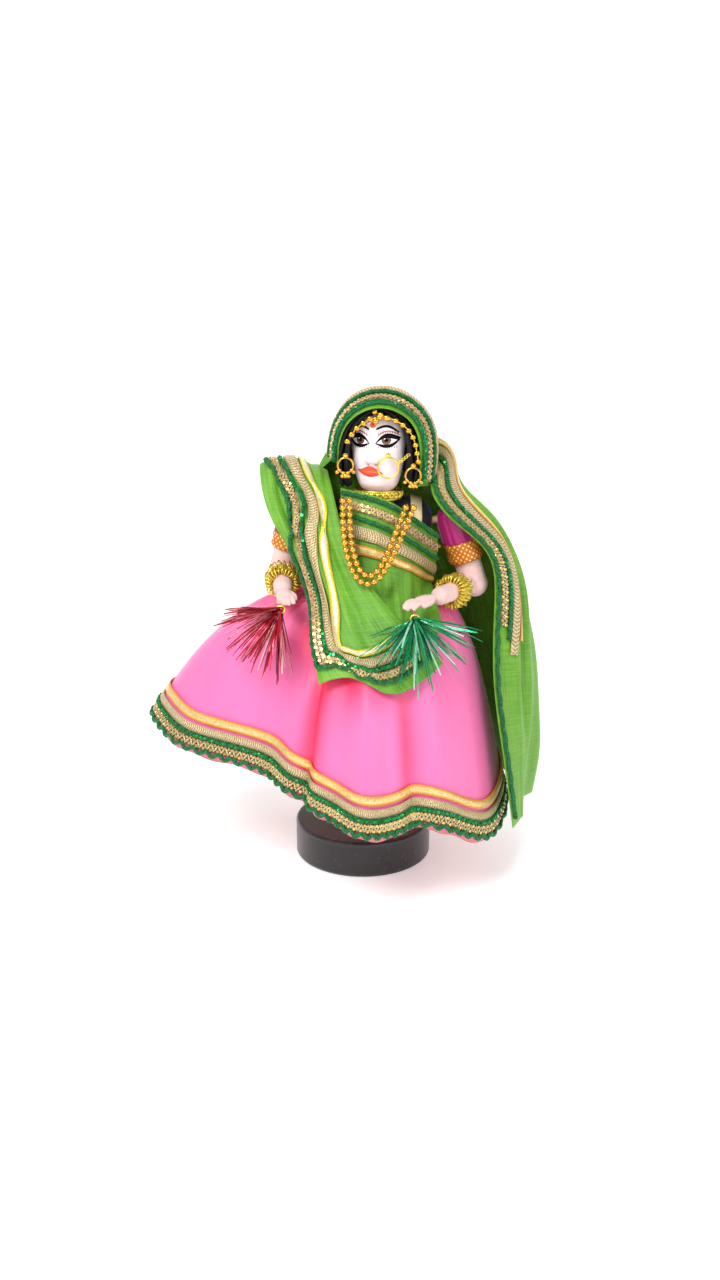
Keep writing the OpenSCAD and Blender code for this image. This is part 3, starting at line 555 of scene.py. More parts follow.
class Finish:
    """A material with one Principled shader, its constants set on the shader's own sockets."""

    def __init__(self, name, **constants):
        self.material = bpy.data.materials.new(name)
        self.material.use_nodes = True
        self.tree = self.material.node_tree
        self.shader = self.tree.nodes["Principled BSDF"]
        for key, value in constants.items():
            self.set(key.replace("_", " ").title().replace("Ior", "IOR"), value)

    def feed(self, socket, value):
        """Links a value to a socket, or sets it."""
        if isinstance(value, Value):
            self.tree.links.new(value.socket, socket)
        elif hasattr(value, "__len__") and len(value) == 3 and socket.type == "RGBA":
            socket.default_value = (*value, 1.0)
        else:
            socket.default_value = value

    def set(self, key, value):
        """Feeds one of the shader's sockets."""
        self.feed(self.shader.inputs[key], value)

    def node(self, kind, settings=None, inputs=None, out=0):
        """A node of a type, with its settings, then what its sockets take."""
        made = self.tree.nodes.new(kind)
        for key, value in (settings or {}).items():
            if key == "stops":
                ramp = made.color_ramp.elements
                for k, (place, colour) in enumerate(value):
                    stop = ramp[k] if k < 2 else ramp.new(place)
                    stop.position, stop.color = place, (*colour, 1.0)
            else:
                setattr(made, key, value)
        for key, value in (inputs or {}).items():
            self.feed(made.inputs[key], value)
        return Value(self, made.outputs[out])

    def place(self, source="Object", scale=(1, 1, 1)):
        """Object or UV coordinates, scaled."""
        spot = self.node("ShaderNodeTexCoord", out=source)
        return self.node("ShaderNodeMapping", {"vector_type": "POINT"}, {"Vector": spot, "Scale": scale})

    def split(self, vector):
        """The three parts of a vector."""
        return [self.node("ShaderNodeSeparateXYZ", inputs={"Vector": vector}, out=k) for k in range(3)]

    def noise(self, where, size=1.0, detail=2.0, rough=0.5):
        """Noise from 0 to 1."""
        inputs = {"Vector": where, "Scale": size, "Detail": detail, "Roughness": rough}
        return self.node("ShaderNodeTexNoise", None, inputs)

    def ramp(self, value, *stops):
        """A colour picked along stops of (place, colour)."""
        return self.node("ShaderNodeValToRGB", {"stops": stops}, {0: value})

    def mix(self, value, one, other):
        """One colour where the value is 0 and the other where it is 1."""
        return self.node("ShaderNodeMix", {"data_type": "RGBA"}, {0: value, 6: one, 7: other}, out=2)

    def bump(self, height, depth=0.1 * MM, strength=1.0):
        """A bumped normal fed to the shader."""
        inputs = {"Height": height, "Distance": depth, "Strength": strength}
        self.set("Normal", self.node("ShaderNodeBump", None, inputs))


def tint(colour, factor):
    """A colour made lighter or darker."""
    return tuple(min(part * factor, 1.0) for part in colour)


def woven(f, where, threads=2.6):
    """Height of a plain weave, in threads a millimetre on UVs in millimetres."""
    x, y, _ = f.split(where)
    across = (x * (threads * TURN)).wave()
    along = (y * (threads * TURN)).wave()
    return across * along + (1 - across) * (1 - along)


def satin_finish(name, colour, roughness=0.36, deep=None):
    """Smooth satin with a pale sheen, faint crush marks, a fine warp and painted shade in its folds and under the
    drape.
    """
    f = Finish(name, sheen_weight=0.3, sheen_roughness=0.35, sheen_tint=(1.0, 0.82, 0.92))
    where = f.place("UV")
    crush = f.noise(f.place("Object", (90, 90, 40)), 1.0, 3, 0.6)
    slub = f.noise(f.place("UV", (0.9, 0.05, 1)), 1.0, 2)
    mottle = crush * 0.7 + slub * 0.3
    shade = f.ramp(mottle, (0.3, tint(colour, 0.9)), (0.55, colour), (0.8, tint(colour, 1.12)))
    # deep is the colour of painted shade, laid into the folds and under the drape by the mesh attribute.
    if deep:
        depth = f.node("ShaderNodeAttribute", {"attribute_name": "fold"}, out=2)
        shade = f.mix((depth + (mottle - 0.5) * 0.15).maths("ADD", 0, clamp=True), shade, deep)
    f.set("Base Color", shade)
    f.set("Roughness", f.noise(where, 0.25, 3) * 0.16 + (roughness - 0.08))
    f.bump(woven(f, where, 3.2) * 0.35 + crush * 2.2 + slub * 0.7, 0.05 * MM)
    return f.material


def silk_finish(name, colour):
    """Dupion silk with slubs both ways and threads of a yellower green."""
    f = Finish(name, sheen_weight=0.2, sheen_roughness=0.4, sheen_tint=(0.75, 0.95, 0.35))
    where = f.place("UV")
    warp = f.noise(f.place("UV", (2.2, 0.07, 1)), 1.0, 3, 0.6)
    weft = f.noise(f.place("UV", (0.06, 2.6, 1)), 1.0, 3, 0.6)
    cloud = f.noise(f.place("UV", (0.06, 0.05, 1)), 1.0, 2)
    thread = warp * 0.42 + weft * 0.38 + cloud * 0.2
    dark, light = tint(colour, 0.6), (colour[0] * 2.0, colour[1] * 1.35, colour[2] * 2.0)
    f.set("Base Color", f.ramp(thread, (0.34, dark), (0.5, colour), (0.64, light)))
    f.set("Roughness", weft * 0.2 + 0.38)
    f.bump(woven(f, where, 2.4) * 0.5 + warp * 1.2 + weft * 1.6, 0.06 * MM)
    return f.material


def chenille_finish(name, colour):
    """Tufted cord whose colour carries random painted glints and painted shade among its tufts."""
    f = Finish(name, sheen_weight=0.3, sheen_roughness=0.5, sheen_tint=(0.1, 0.9, 0.2), roughness=0.6)
    tuft = f.noise(f.place("Object", (1, 1, 1)), 1900, 2, 0.7)
    light = (colour[0] + 0.012, min(colour[1] * 2.6, 1), colour[2] * 4.5)
    # The light tufts are painted glints and the dark ones painted shade.
    f.set("Base Color", f.ramp(tuft, (0.38, tint(colour, 0.35)), (0.52, colour), (0.68, light)))
    f.bump(tuft, 0.35 * MM)
    return f.material


def braid_finish(name, base, bright, pitch=1.2, metal=0.5):
    """Metal-thread braid: rows of chevrons between raised edges, with painted glints in its colour."""
    f = Finish(name)
    along, across, _ = f.split(f.place("UV"))
    lean = (across - 0.5).maths("ABSOLUTE")
    chevron = ((along / pitch + lean * 1.4) * TURN).wave()
    strands = (across * (TURN * 7)).wave()
    edge = 1 - across.band(0.09, 0.91, 0.04)
    glint = f.noise(f.place("Object", (1, 1, 1)), 1500, 2, 0.7)
    shine = chevron * 0.3 + strands * 0.15 + glint * 0.6
    dark = tint(base, 0.38)
    # The glint noise lays painted glints into the colour; the chevrons and strands are the braid's pattern.
    f.set("Base Color", f.ramp(shine.maths("MAXIMUM", edge * 0.55), (0.25, dark), (0.5, base), (0.72, bright)))
    f.set("Metallic", (shine * metal).maths("ADD", 0.2, clamp=True))
    f.set("Roughness", 0.52 - glint * 0.2)
    f.bump(chevron * 0.8 + strands * 0.4 + edge * 0.9 + glint * 0.6, 0.2 * MM)
    return f.material


def ribbon_finish(name, middle, border, metal=0.6):
    """Gota ribbon: a flat metal middle ribbed across, between coloured selvedges, with painted glints and painted shade
    of its crinkles in their colour.
    """
    f = Finish(name)
    along, across, _ = f.split(f.place("UV"))
    rib = (along * (TURN * 1.5)).wave()
    crush = f.noise(f.place("UV", (0.35, 3.5, 1)), 1.0, 3, 0.6)
    glint = f.noise(f.place("Object", (1, 1, 1)), 1300, 2, 0.7)
    centre = across.band(0.24, 0.76, 0.12)
    # The gold's light and dark flecks are painted glints and painted shade of the crinkles; the selvedges carry painted
    # glints too.
    gold = f.ramp(crush * 0.5 + glint * 0.5, (0.3, tint(middle, 0.55)), (0.5, middle), (0.7, tint(middle, 1.35)))
    edge = f.ramp(glint * 0.6 + rib * 0.4, (0.25, tint(border, 0.6)), (0.6, border), (0.8, tint(border, 1.3)))
    f.set("Base Color", f.mix(centre, edge, gold))
    f.set("Metallic", centre * metal)
    f.set("Roughness", 0.42 - glint * 0.16)
    f.bump(rib * 0.5 + crush * 1.2 + centre * 0.5, 0.12 * MM)
    return f.material


def metal_finish(name, colour, roughness=0.2, mottle=0.12):
    """Bright gilt with worn, duller patches."""
    f = Finish(name, metallic=1.0, coat_weight=0.25, coat_roughness=0.1)
    worn = f.noise(f.place("Object", (1, 1, 1)), 420, 3, 0.6)
    f.set("Base Color", f.ramp(worn, (0.3, tint(colour, 0.72)), (0.55, colour), (0.8, tint(colour, 1.25))))
    f.set("Roughness", worn * mottle + (roughness - mottle / 2))
    return f.material


def cotton_finish(name, colour, threads=1400, roughness=0.75):
    """Plain stuffed cotton with a fine weave, soft soiling and a little fuzz."""
    f = Finish(name, sheen_weight=0.3, sheen_roughness=0.6, subsurface_weight=0.1, subsurface_scale=0.002)
    weave = f.noise(f.place("Object", (1, 1, 1)), threads, 1, 0.4)
    soil = f.noise(f.place("Object", (1, 1, 1)), 90, 3, 0.6)
    f.set("Base Color", f.ramp(soil * 0.7 + weave * 0.3, (0.3, tint(colour, 0.82)), (0.6, colour), (0.8, tint(colour, 1.08))))
    f.set("Roughness", weave * 0.15 + (roughness - 0.08))
    f.bump(weave + soil * 2, 0.06 * MM)
    return f.material


def painted_face_finish(name, colour):
    """Glossy enamel on a moulded head with faint brush marks, warmer and darker towards the chin."""
    f = Finish(name, coat_weight=0.5, coat_roughness=0.12, subsurface_weight=0.12, subsurface_scale=0.003)
    cloud = f.noise(f.place("Object", (1, 1, 1)), 70, 3, 0.5)
    brush = f.noise(f.place("Object", (250, 250, 900)), 1.0, 2)
    _, _, height = f.split(f.place("Object"))
    # The face grows warmer and darker from below the nose down to the chin.
    low = ((height - (HEAD.z - 14 * MM)) / (12 * MM)).maths("MULTIPLY", 1.0, clamp=True)
    lower_face_tone = f.mix(low, (0.90, 0.58, 0.55), colour)
    f.set("Base Color", f.mix(cloud * 0.5, lower_face_tone, tint(colour, 1.04)))
    f.set("Roughness", brush * 0.1 + 0.26)
    f.bump(brush + cloud * 2, 0.03 * MM)
    return f.material


def paint_finish(name, colour, roughness=0.3, vary=0.15, coat=0.4):
    """Brushed paint with a thin gloss coat."""
    f = Finish(name, coat_weight=coat, coat_roughness=0.15, specular_ior_level=coat)
    stroke = f.noise(f.place("Object", (700, 700, 1600)), 1.0, 2)
    f.set("Base Color", f.ramp(stroke, (0.3, tint(colour, 1 - vary)), (0.7, tint(colour, 1 + vary))))
    f.set("Roughness", stroke * 0.1 + roughness)
    f.bump(stroke, 0.02 * MM)
    return f.material


def hair_finish(name):
    """Black strands with a soft sheen."""
    f = Finish(name, specular_ior_level=0.25)
    strand = f.noise(f.place("Object", (2200, 900, 160)), 1.0, 2, 0.6)
    f.set("Base Color", f.ramp(strand, (0.35, (0.002, 0.002, 0.003)), (0.65, (0.016, 0.014, 0.016))))
    f.set("Roughness", strand * 0.2 + 0.5)
    f.bump(strand, 0.2 * MM)
    return f.material


def velvet_finish(name, colour, sheen):
    """Velvet with a crushed pile."""
    f = Finish(name, sheen_weight=0.8, sheen_roughness=0.3, sheen_tint=sheen)
    pile = f.noise(f.place("Object", (1, 1, 1)), 1700, 2, 0.7)
    crush = f.noise(f.place("Object", (1, 1, 1)), 130, 3, 0.6)
    f.set("Base Color", f.ramp(pile * 0.4 + crush * 0.6, (0.3, tint(colour, 0.4)), (0.7, tint(colour, 1.8))))
    f.set("Roughness", crush * 0.2 + 0.65)
    f.bump(pile + crush * 2, 0.15 * MM)
    return f.material


def brocade_finish(name):
    """Orange cloth crossed with gold threads in small diamonds, with painted glints in its colour."""
    f = Finish(name)
    x, y, _ = f.split(f.place("UV"))
    one = ((x + y) * (TURN * 0.42)).wave()
    two = ((x - y) * (TURN * 0.42)).wave()
    diamond = (one * two).band(0.42, 1.2, 0.3)
    glint = f.noise(f.place("Object", (1, 1, 1)), 1500, 2, 0.75)
    shine = diamond * 0.6 + glint * 0.5
    # The glint noise lays painted glints into the colour; the diamonds are the brocade's pattern.
    f.set("Base Color", f.ramp(shine, (0.25, (0.62, 0.13, 0.008)), (0.5, (0.90, 0.42, 0.03)), (0.8, (0.98, 0.76, 0.22))))
    f.set("Metallic", shine * 0.6)
    f.set("Roughness", 0.5 - glint * 0.2)
    f.bump(diamond + glint, 0.15 * MM)
    return f.material


def foil_finish(name, *colours):
    """Cut foil: the colour is picked strip by strip, its palest colour a painted highlight, and shifted a little by the
    creases.
    """
    f = Finish(name, coat_weight=0.3, coat_roughness=0.08)
    tone, along, _ = f.split(f.place("UV"))
    crease = f.noise(f.place("Object", (1, 1, 1)), 600, 2, 0.6)
    stops = [(k / (len(colours) - 1), colour) for k, colour in enumerate(colours)]
    f.set("Base Color", f.ramp(tone + crease * 0.1 - 0.05 + along * 0.02, *stops))
    f.set("Metallic", crease * 0.1 + 0.45)
    f.set("Roughness", crease * 0.2 + 0.2)
    f.bump(crease, 0.3 * MM)
    return f.material


def black_cloth_finish(name):
    """Black satin pulled tight over the stand, with lint and lighter bands round its top and bottom rims."""
    f = Finish(name, sheen_weight=0.25, sheen_roughness=0.4, coat_weight=0.2, coat_roughness=0.25)
    weave = f.noise(f.place("Object", (1, 1, 1)), 1500, 2, 0.6)
    lint = f.noise(f.place("Object", (1, 1, 1)), 700, 1, 0.3).band(0.72, 2, 0.04)
    _, _, height = f.split(f.place("Object"))
    # The top and bottom rims are laid in as lighter bands.
    edge = height.band(stand_top - 1.6 * MM, stand_top + 1 * MM, 1.2 * MM) + height.band(-1 * MM, 1.4 * MM, 1.2 * MM)
    lint_and_rims = (lint * 0.5 + edge * (weave * 0.8)).maths("ADD", 0, clamp=True)
    f.set("Base Color", f.mix(lint_and_rims, (0.006, 0.006, 0.007), (0.05, 0.05, 0.055)))
    f.set("Roughness", weave * 0.25 + 0.3)
    f.bump(weave + lint, 0.05 * MM)
    return f.material


def wood_finish(name):
    """Pale turned wood with grain along Z."""
    f = Finish(name, roughness=0.6)
    grain = f.noise(f.place("Object", (900, 900, 40)), 1.0, 4, 0.6)
    f.set("Base Color", f.ramp(grain, (0.3, (0.42, 0.26, 0.13)), (0.7, (0.66, 0.47, 0.28))))
    f.bump(grain, 0.1 * MM)
    return f.material


# ---------------------------------------------------------------------------------------------
# Pieces
# ---------------------------------------------------------------------------------------------


def sizes():
    """The doll's sizes, as the scene holds them."""
    return bpy.context.scene.doll_sizes


def colours():
    """The doll's colours, as the scene holds them."""
    return bpy.context.scene.doll_colours


FINISHES = {}


def finish(name):
    """A finish by name, made once."""
    if name not in FINISHES:
        c = colours()
        makers = {
            # The last colour is the hot pink painted shade for the skirt's folds and under the drape.
            "pink_satin": lambda: satin_finish("pink_satin", c.skirt, 0.36, (0.97, 0.018, 0.09)),
            "salmon_lining": lambda: satin_finish("salmon_lining", (0.80, 0.24, 0.27), 0.5),
            "green_silk": lambda: silk_finish("green_silk", c.veil),
            "green_cord": lambda: chenille_finish("green_cord", c.cord),
            "gold_braid": lambda: braid_finish("gold_braid", (0.56, 0.40, 0.19), (0.90, 0.76, 0.47)),
            "zigzag_lace": lambda: braid_finish("zigzag_lace", (0.46, 0.22, 0.15), (0.85, 0.62, 0.40), 4.4, 0.35),
            "lace_thread": lambda: braid_finish("lace_thread", (0.70, 0.52, 0.26), (0.98, 0.86, 0.58), 0.9, 0.6),
            "gota_ribbon": lambda: ribbon_finish("gota_ribbon", (0.90, 0.66, 0.27), (0.88, 0.36, 0.03)),
            "yellow_ribbon": lambda: ribbon_finish("yellow_ribbon", (0.90, 0.80, 0.50), (0.78, 0.66, 0.03)),
            "gold_beads": lambda: metal_finish("gold_beads", c.gold),
            "gold_wire": lambda: metal_finish("gold_wire", (1.0, 0.80, 0.12), 0.38),
            "gold_sequin": lambda: metal_finish("gold_sequin", (0.86, 0.58, 0.16), 0.3),
            "green_sequin": lambda: metal_finish("green_sequin", (0.01, 0.30, 0.07), 0.25),
            "painted_face": lambda: painted_face_finish("painted_face", (0.94, 0.83, 0.86)),
            "red_lips": lambda: paint_finish("red_lips", c.lips, 0.25),
            "bindi_paint": lambda: paint_finish("bindi_paint", (0.85, 0.12, 0.02)),
            "lid_paint": lambda: paint_finish("lid_paint", (0.70, 0.20, 0.13)),
            # Pinkish brown for the painted shade under the nose.
            "nose_shade_paint": lambda: paint_finish("nose_shade_paint", (0.72, 0.36, 0.34)),
            "black_paint": lambda: paint_finish("black_paint", (0.004, 0.003, 0.005), 0.6, 0.15, 0.05),
            "brown_paint": lambda: paint_finish("brown_paint", (0.16, 0.065, 0.03), 0.2, 0.5),
            "white_paint": lambda: paint_finish("white_paint", (0.93, 0.92, 0.92), 0.2, 0.04),
            "black_hair": lambda: hair_finish("black_hair"),
            "pink_cloth_skin": lambda: cotton_finish("pink_cloth_skin", (0.93, 0.62, 0.58)),
            "stuffed_body": lambda: cotton_finish("stuffed_body", (0.72, 0.60, 0.48), 900),
            "magenta_sleeve": lambda: satin_finish("magenta_sleeve", (0.42, 0.008, 0.15), 0.4),
            "black_velvet": lambda: velvet_finish("black_velvet", (0.006, 0.006, 0.012), (0.25, 0.25, 0.4)),
            "brocade_cuff": lambda: brocade_finish("brocade_cuff"),
            "black_stand": lambda: black_cloth_finish("black_stand"),
            "bare_wood": lambda: wood_finish("bare_wood"),
            # The pale last colour of each foil is a painted highlight on the strips that catch the light.
            "green_foil": lambda: foil_finish(
                "green_foil", (0.0, 0.05, 0.02), (0.0, 0.16, 0.06), (0.0, 0.30, 0.11), (0.01, 0.46, 0.18),
                (0.0, 0.24, 0.08), (0.04, 0.66, 0.34), (0.80, 0.90, 0.86),
            ),
            "red_foil": lambda: foil_finish(
                "red_foil", (0.10, 0.0, 0.01), (0.32, 0.004, 0.02), (0.55, 0.01, 0.03), (0.24, 0.002, 0.02),
                (0.70, 0.02, 0.05), (0.42, 0.01, 0.02), (0.95, 0.60, 0.58),
            ),
        }
        FINISHES[name] = makers[name]()
    return FINISHES[name]


def recoat(node, name):
    """Gives a carried-over node its finish."""
    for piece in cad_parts[node] if isinstance(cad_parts[node], list) else [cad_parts[node]]:
        for slot in piece.material_slots:
            slot.material = finish(name)


def thicken(piece, thickness, offset=-1.0):
    """Gives a surface its thickness, on its inner side."""
    wall = piece.modifiers.new("Thickness", "SOLIDIFY")
    wall.thickness, wall.offset, wall.use_rim = thickness, offset, True
    return piece


def cloth_piece(name, surface, cols, rows, material, body, replaces, area=None):
    """A cut of cloth laid on its surface, with its thickness inwards."""
    bm = bmesh.new()
    cloth_sheet(bm, surface, cols, rows)
    piece = finish_piece(name, bm, finish(material), body, replaces)
    thicken(piece, sizes().cloth)
    return piece


def ribbon_piece(name, surface, low, high, material, body, replaces=(), crown=0.15, cols=200, loop=False, lift=0.0):
    """A woven trim sewn along a cloth."""
    s = sizes()
    bm = bmesh.new()
    ribbon(bm, surface, low, high, s.gap + s.trim + lift, crown * MM, cols, 4, loop)
    piece = finish_piece(name, bm, finish(material), body, replaces)
    return thicken(piece, s.trim * 0.8)


def cord_piece(name, surface, line, body, replaces=(), count=300, wave=0.0, pitch=7.0, loop=False, size=1.0, lift=0.0):
    """A chenille cord sewn along a cloth, tufted by its uneven radius."""
    s = sizes()
    radius = s.cord / 2 * size
    places, sides = cord_line(surface, line, s.gap + radius + lift, count + (1 if loop else 0))
    if loop:
        places, sides = places[:-1], sides[:-1]
    length = path_length(places)
    if wave:
        _, _, across = frames_along(places, sides, loop)
        swings = max(int(round(length / (pitch * MM))), 1)
        at = np.linspace(0, TURN * swings, len(places), endpoint=not loop)
        places = places + across * (np.sin(at) * wave * MM)[:, None]
    draw = random.Random(name)
    tufts = [radius * (0.86 + 0.28 * draw.random()) for _ in places]
    bm = bmesh.new()
    add_tube(bm, places, tufts, 8, sides, loop)
    return finish_piece(name, bm, finish("green_cord"), body, replaces)


def lace_piece(name, surface, middle, half, body, replaces=(), count=90, loop=False, lift=0.0, sequins=True):
    """Lace trim: a ground ribbon, a gold zigzag cord over it and a sequin in each bay.

    middle(s) gives the (u, v) of its centre line, half(s) its half width in metres.
    """
    s = sizes()
    steps = count * 6
    centre, sides = cord_line(surface, middle, s.gap + s.trim + lift, steps + 1)
    if loop:
        centre, sides = centre[:-1], sides[:-1]
    _, up, across = frames_along(centre, sides, loop)
    spans = len(centre)
    width = np.array([half(k / spans) for k in range(spans)])

    def ground(a, b):
        k = int(round(a * (spans if loop else spans - 1))) % spans
        return centre[k] + across[k] * width[k] * (2 * b - 1) * 1.02

    length = path_length(centre) / MM
    bm = bmesh.new()
    add_grid(bm, spans if loop else spans - 1, 2, ground, lambda a, b: (a * length, b), close_u=loop)
    base = finish_piece(name, bm, finish("zigzag_lace"), body, replaces)
    thicken(base, s.trim * 0.7, 1.0)
    swing = np.abs((np.arange(spans) * 2.0 / 6) % 2 - 1) * 2 - 1
    zig = centre + across * (width * 0.72 * swing)[:, None] + up * 0.55 * MM
    bm = bmesh.new()
    add_tube(bm, zig, 0.42 * MM, 6, up, loop)
    finish_piece(name + "_zigzag", bm, finish("lace_thread"), body, ())
    if sequins:
        spots = []
        for k in range(0, spans, 6):
            for shift, side in ((0, -1), (3, 1)):
                j = (k + shift) % spans
                spots.append((centre[j] + across[j] * width[j] * 0.55 * side + up[j] * 0.75 * MM, up[j]))
        bm = bmesh.new()
        add_sequins(bm, spots, 0.75 * MM)
        finish_piece(name + "_sequins", bm, finish("gold_sequin"), body, (), smooth=False)
    return base


def sequin_row(name, surface, line, body, count, lift, material="green_sequin", radius=0.7):
    """A row of small sequins along a cord."""
    places, sides = cord_line(surface, line, lift, count)
    draw = random.Random(name)
    spots = [(p, unit(n + 0.5 * np.array([draw.uniform(-1, 1) for _ in range(3)]))) for p, n in zip(places, sides)]
    bm = bmesh.new()
    add_sequins(bm, spots, radius * MM)
    return finish_piece(name, bm, finish(material), body, (), smooth=False)


class DollOperator(bpy.types.Operator):
    """Shared settings of the doll's operators."""

    bl_options = {"REGISTER", "UNDO"}


class DOLL_OT_stand(DollOperator):
    """Covers the stand in black cloth and turns the post in wood"""

    bl_idname = "doll.stand"
    bl_label = "Stand"

    def execute(self, context):
        recoat("base_disc", "black_stand")
        recoat("post", "bare_wood")
        return {"FINISHED"}


class DOLL_OT_body(DollOperator):
    """Finishes the stuffed body, its blouse and the parts that join the head and arms"""

    bl_idname = "doll.body"
    bl_label = "Body and blouse"

    def execute(self, context):
        recoat("body_core", "stuffed_body")
        recoat("shoulder_rod", "bare_wood")
        recoat("neck_peg", "bare_wood")
        recoat("blouse", "black_velvet")
        recoat("blouse_strap", "lace_thread")
        recoat("waist_cord", "green_cord")
        return {"FINISHED"}


class DOLL_OT_skirt(DollOperator):
    """Hangs the satin skirt and the lining that shows under its hem"""

    bl_idname = "doll.skirt"
    bl_label = "Skirt"

    def execute(self, context):
        hem = path_length(even(spline([doll_point(p) for p in HEM], 400, True), 400, True))
        fall = path_length([skirt.at(0.55, k / 60) for k in range(61)])
        satin = cloth_piece(
            "skirt_satin", skirt, 420, 120, "pink_satin", "figure", ("skirt",),
            area=sheet_area(skirt),
        )
        self.shade_folds(satin.data)
        drop, inset = 1.5 * MM, 0.9 * MM

        def place(s, t):
            spot = skirt.at(s, t, -inset)
            return spot - Vector((0, 0, drop * max(t - 0.9, 0) * 10 * (0.8 + 0.35 * math.sin(TURN * 17 * s))))

        bm = bmesh.new()
        add_grid(bm, 300, 60, place, lambda s, t: (s * hem / MM, t * fall / MM), close_u=True, flip=True)
        lining = finish_piece("skirt_lining", bm, finish("salmon_lining"), "figure", ("petticoat",))
        thicken(lining, sizes().cloth)
        sheet_area(skirt)
        return {"FINISHED"}

    def shade_folds(self, mesh):
        """Stores the painted shade at each corner, deepest in the folds and under the drape, for the satin's colour."""
        fold = mesh.attributes.new("fold", "FLOAT", "POINT")
        wide = max(corner.uv.x for corner in mesh.uv_layers.active.data)
        tall = max(corner.uv.y for corner in mesh.uv_layers.active.data)
        for loop, corner in zip(mesh.loops, mesh.uv_layers.active.data):
            fold.data[loop.vertex_index].value = float(fold_shade(corner.uv.x / wide, corner.uv.y / tall))


def fold_shade(u, v):
    """Painted shade of the satin, from 0 on its crests to 1 in its folds, under the drape and by the waist."""
    under_lap = 1.0 * bump_at(u, 0.665, 0.08) * bump_at(v, 0.50, 0.15)
    beside_lap = 0.9 * bump_at(u, 0.535, 0.05) * bump_at(v, 0.36, 0.15)
    valley = 0.75 * bump_at(u, 0.584, 0.014 + 0.02 * v) * bump_at(v, 0.75, 0.35)
    side = 0.5 * bump_at(u, 0.79, 0.02) * bump_at(v, 0.75, 0.25)
    waist = 0.6 * bump_at(v, 0.0, 0.30)
    return np.clip(under_lap + beside_lap + valley + side + waist - skirt_folds(u, v) * 0.05, 0, 1)


def sheet_area(cloth):
    """Area of a cloth's table in square metres."""
    p = cloth.places
    nxt = np.roll(p, -1, 1) if cloth.loop else p[:, 1:]
    here = p if cloth.loop else p[:, :-1]
    du, dv = (nxt - here)[:-1], (here[1:] - here[:-1])
    return float(np.linalg.norm(np.cross(du, dv), axis=2).sum())


def hem_line(length, spread=None):
    """A line round the skirt, a length above its hem."""
    if spread is None:
        steps = [skirt.up_from_hem(k / 240, length) for k in range(240)]
        smooth = np.array(steps)
        for _ in range(6):
            smooth = (np.roll(smooth, 1) + smooth * 2 + np.roll(smooth, -1)) / 4

    def line(s):
        x = (s % 1.0) * 240
        k = int(x) % 240
        return s, smooth[k] * (1 - x + int(x)) + smooth[(k + 1) % 240] * (x - int(x))

    return line


class DOLL_OT_hem(DollOperator):
    """Sews the five trims round the hem of the skirt"""

    bl_idname = "doll.hem"
    bl_label = "Hem trims"

    def execute(self, context):
        ride = "figure"
        ribbon_piece(
            "hem_gota", skirt, hem_line(13.3 * MM), hem_line(17.3 * MM), "gota_ribbon", ride, ("hem_ribbon",),
            cols=600, loop=True,
        )
        ribbon_piece(
            "hem_chevron_braid", skirt, hem_line(8.4 * MM), hem_line(11.8 * MM), "gold_braid", ride, ("hem_braid",),
            crown=0.4, cols=700, loop=True,
        )
        upper = hem_line(7.2 * MM)
        cord_piece("hem_upper_cord", skirt, upper, ride, ("hem_cord_upper",), 900, 0.25, 5, True)
        sequin_row("hem_upper_sequins", skirt, upper, ride, 190, sizes().cord * 1.05)
        lace_piece("hem_zigzag_lace", skirt, hem_line(4.3 * MM), lambda s: 2.0 * MM, ride, ("hem_lace",), 105, True)
        cord_piece(
            "hem_lower_cord", skirt, hem_line(1.3 * MM), ride, ("hem_cord_lower",), 1000, 0.8, 7.5, True, 1.0, 0.2 * MM
        )
        return {"FINISHED"}


def strip_line(u, v0=0.0, v1=1.0, wobble=0.0):
    """A line down a cloth at one u, or at a u that changes along it."""

    def line(s):
        v = v0 + (v1 - v0) * s
        across = u(v) if callable(u) else u
        return across + wobble * math.sin(TURN * 5 * s), v

    return line


WING_W, WING_PLACE, WING_REACH, HANGING_W = 8, 0.43, 0.12, 4


def pallu_u(inside, v):
    """How far across the drape a trim lies, a length in millimetres in from the border's outer line."""
    wing = WING_W * math.exp(-(((v - WING_PLACE) / WING_REACH) ** 2))
    return (inside + wing) * MM / np.linalg.norm(pallu.at(1, v) - pallu.at(0, v))


def pallu_v(inside, u):
    """How far down the drape a trim lies where it runs along the lower edge."""
    return 1 - 0.05 * (inside + HANGING_W) * MM / np.linalg.norm(pallu.at(u, 0.95) - pallu.at(u, 0.9))


def border(inside, end=0.86, start=0.01, bend=0.72):
    """A trim's line down the drape's outer edge and, past its corner, along its lower edge."""
    corner_v = pallu_v(inside, pallu_u(inside, 0.9))
    corner_u = pallu_u(inside, corner_v)

    def line(s):
        if s <= bend:
            v = start + (corner_v - start) * s / bend
            return pallu_u(inside, v), v
        u = corner_u + (end - corner_u) * (s - bend) / (1 - bend)
        return u, pallu_v(inside, u)

    return line


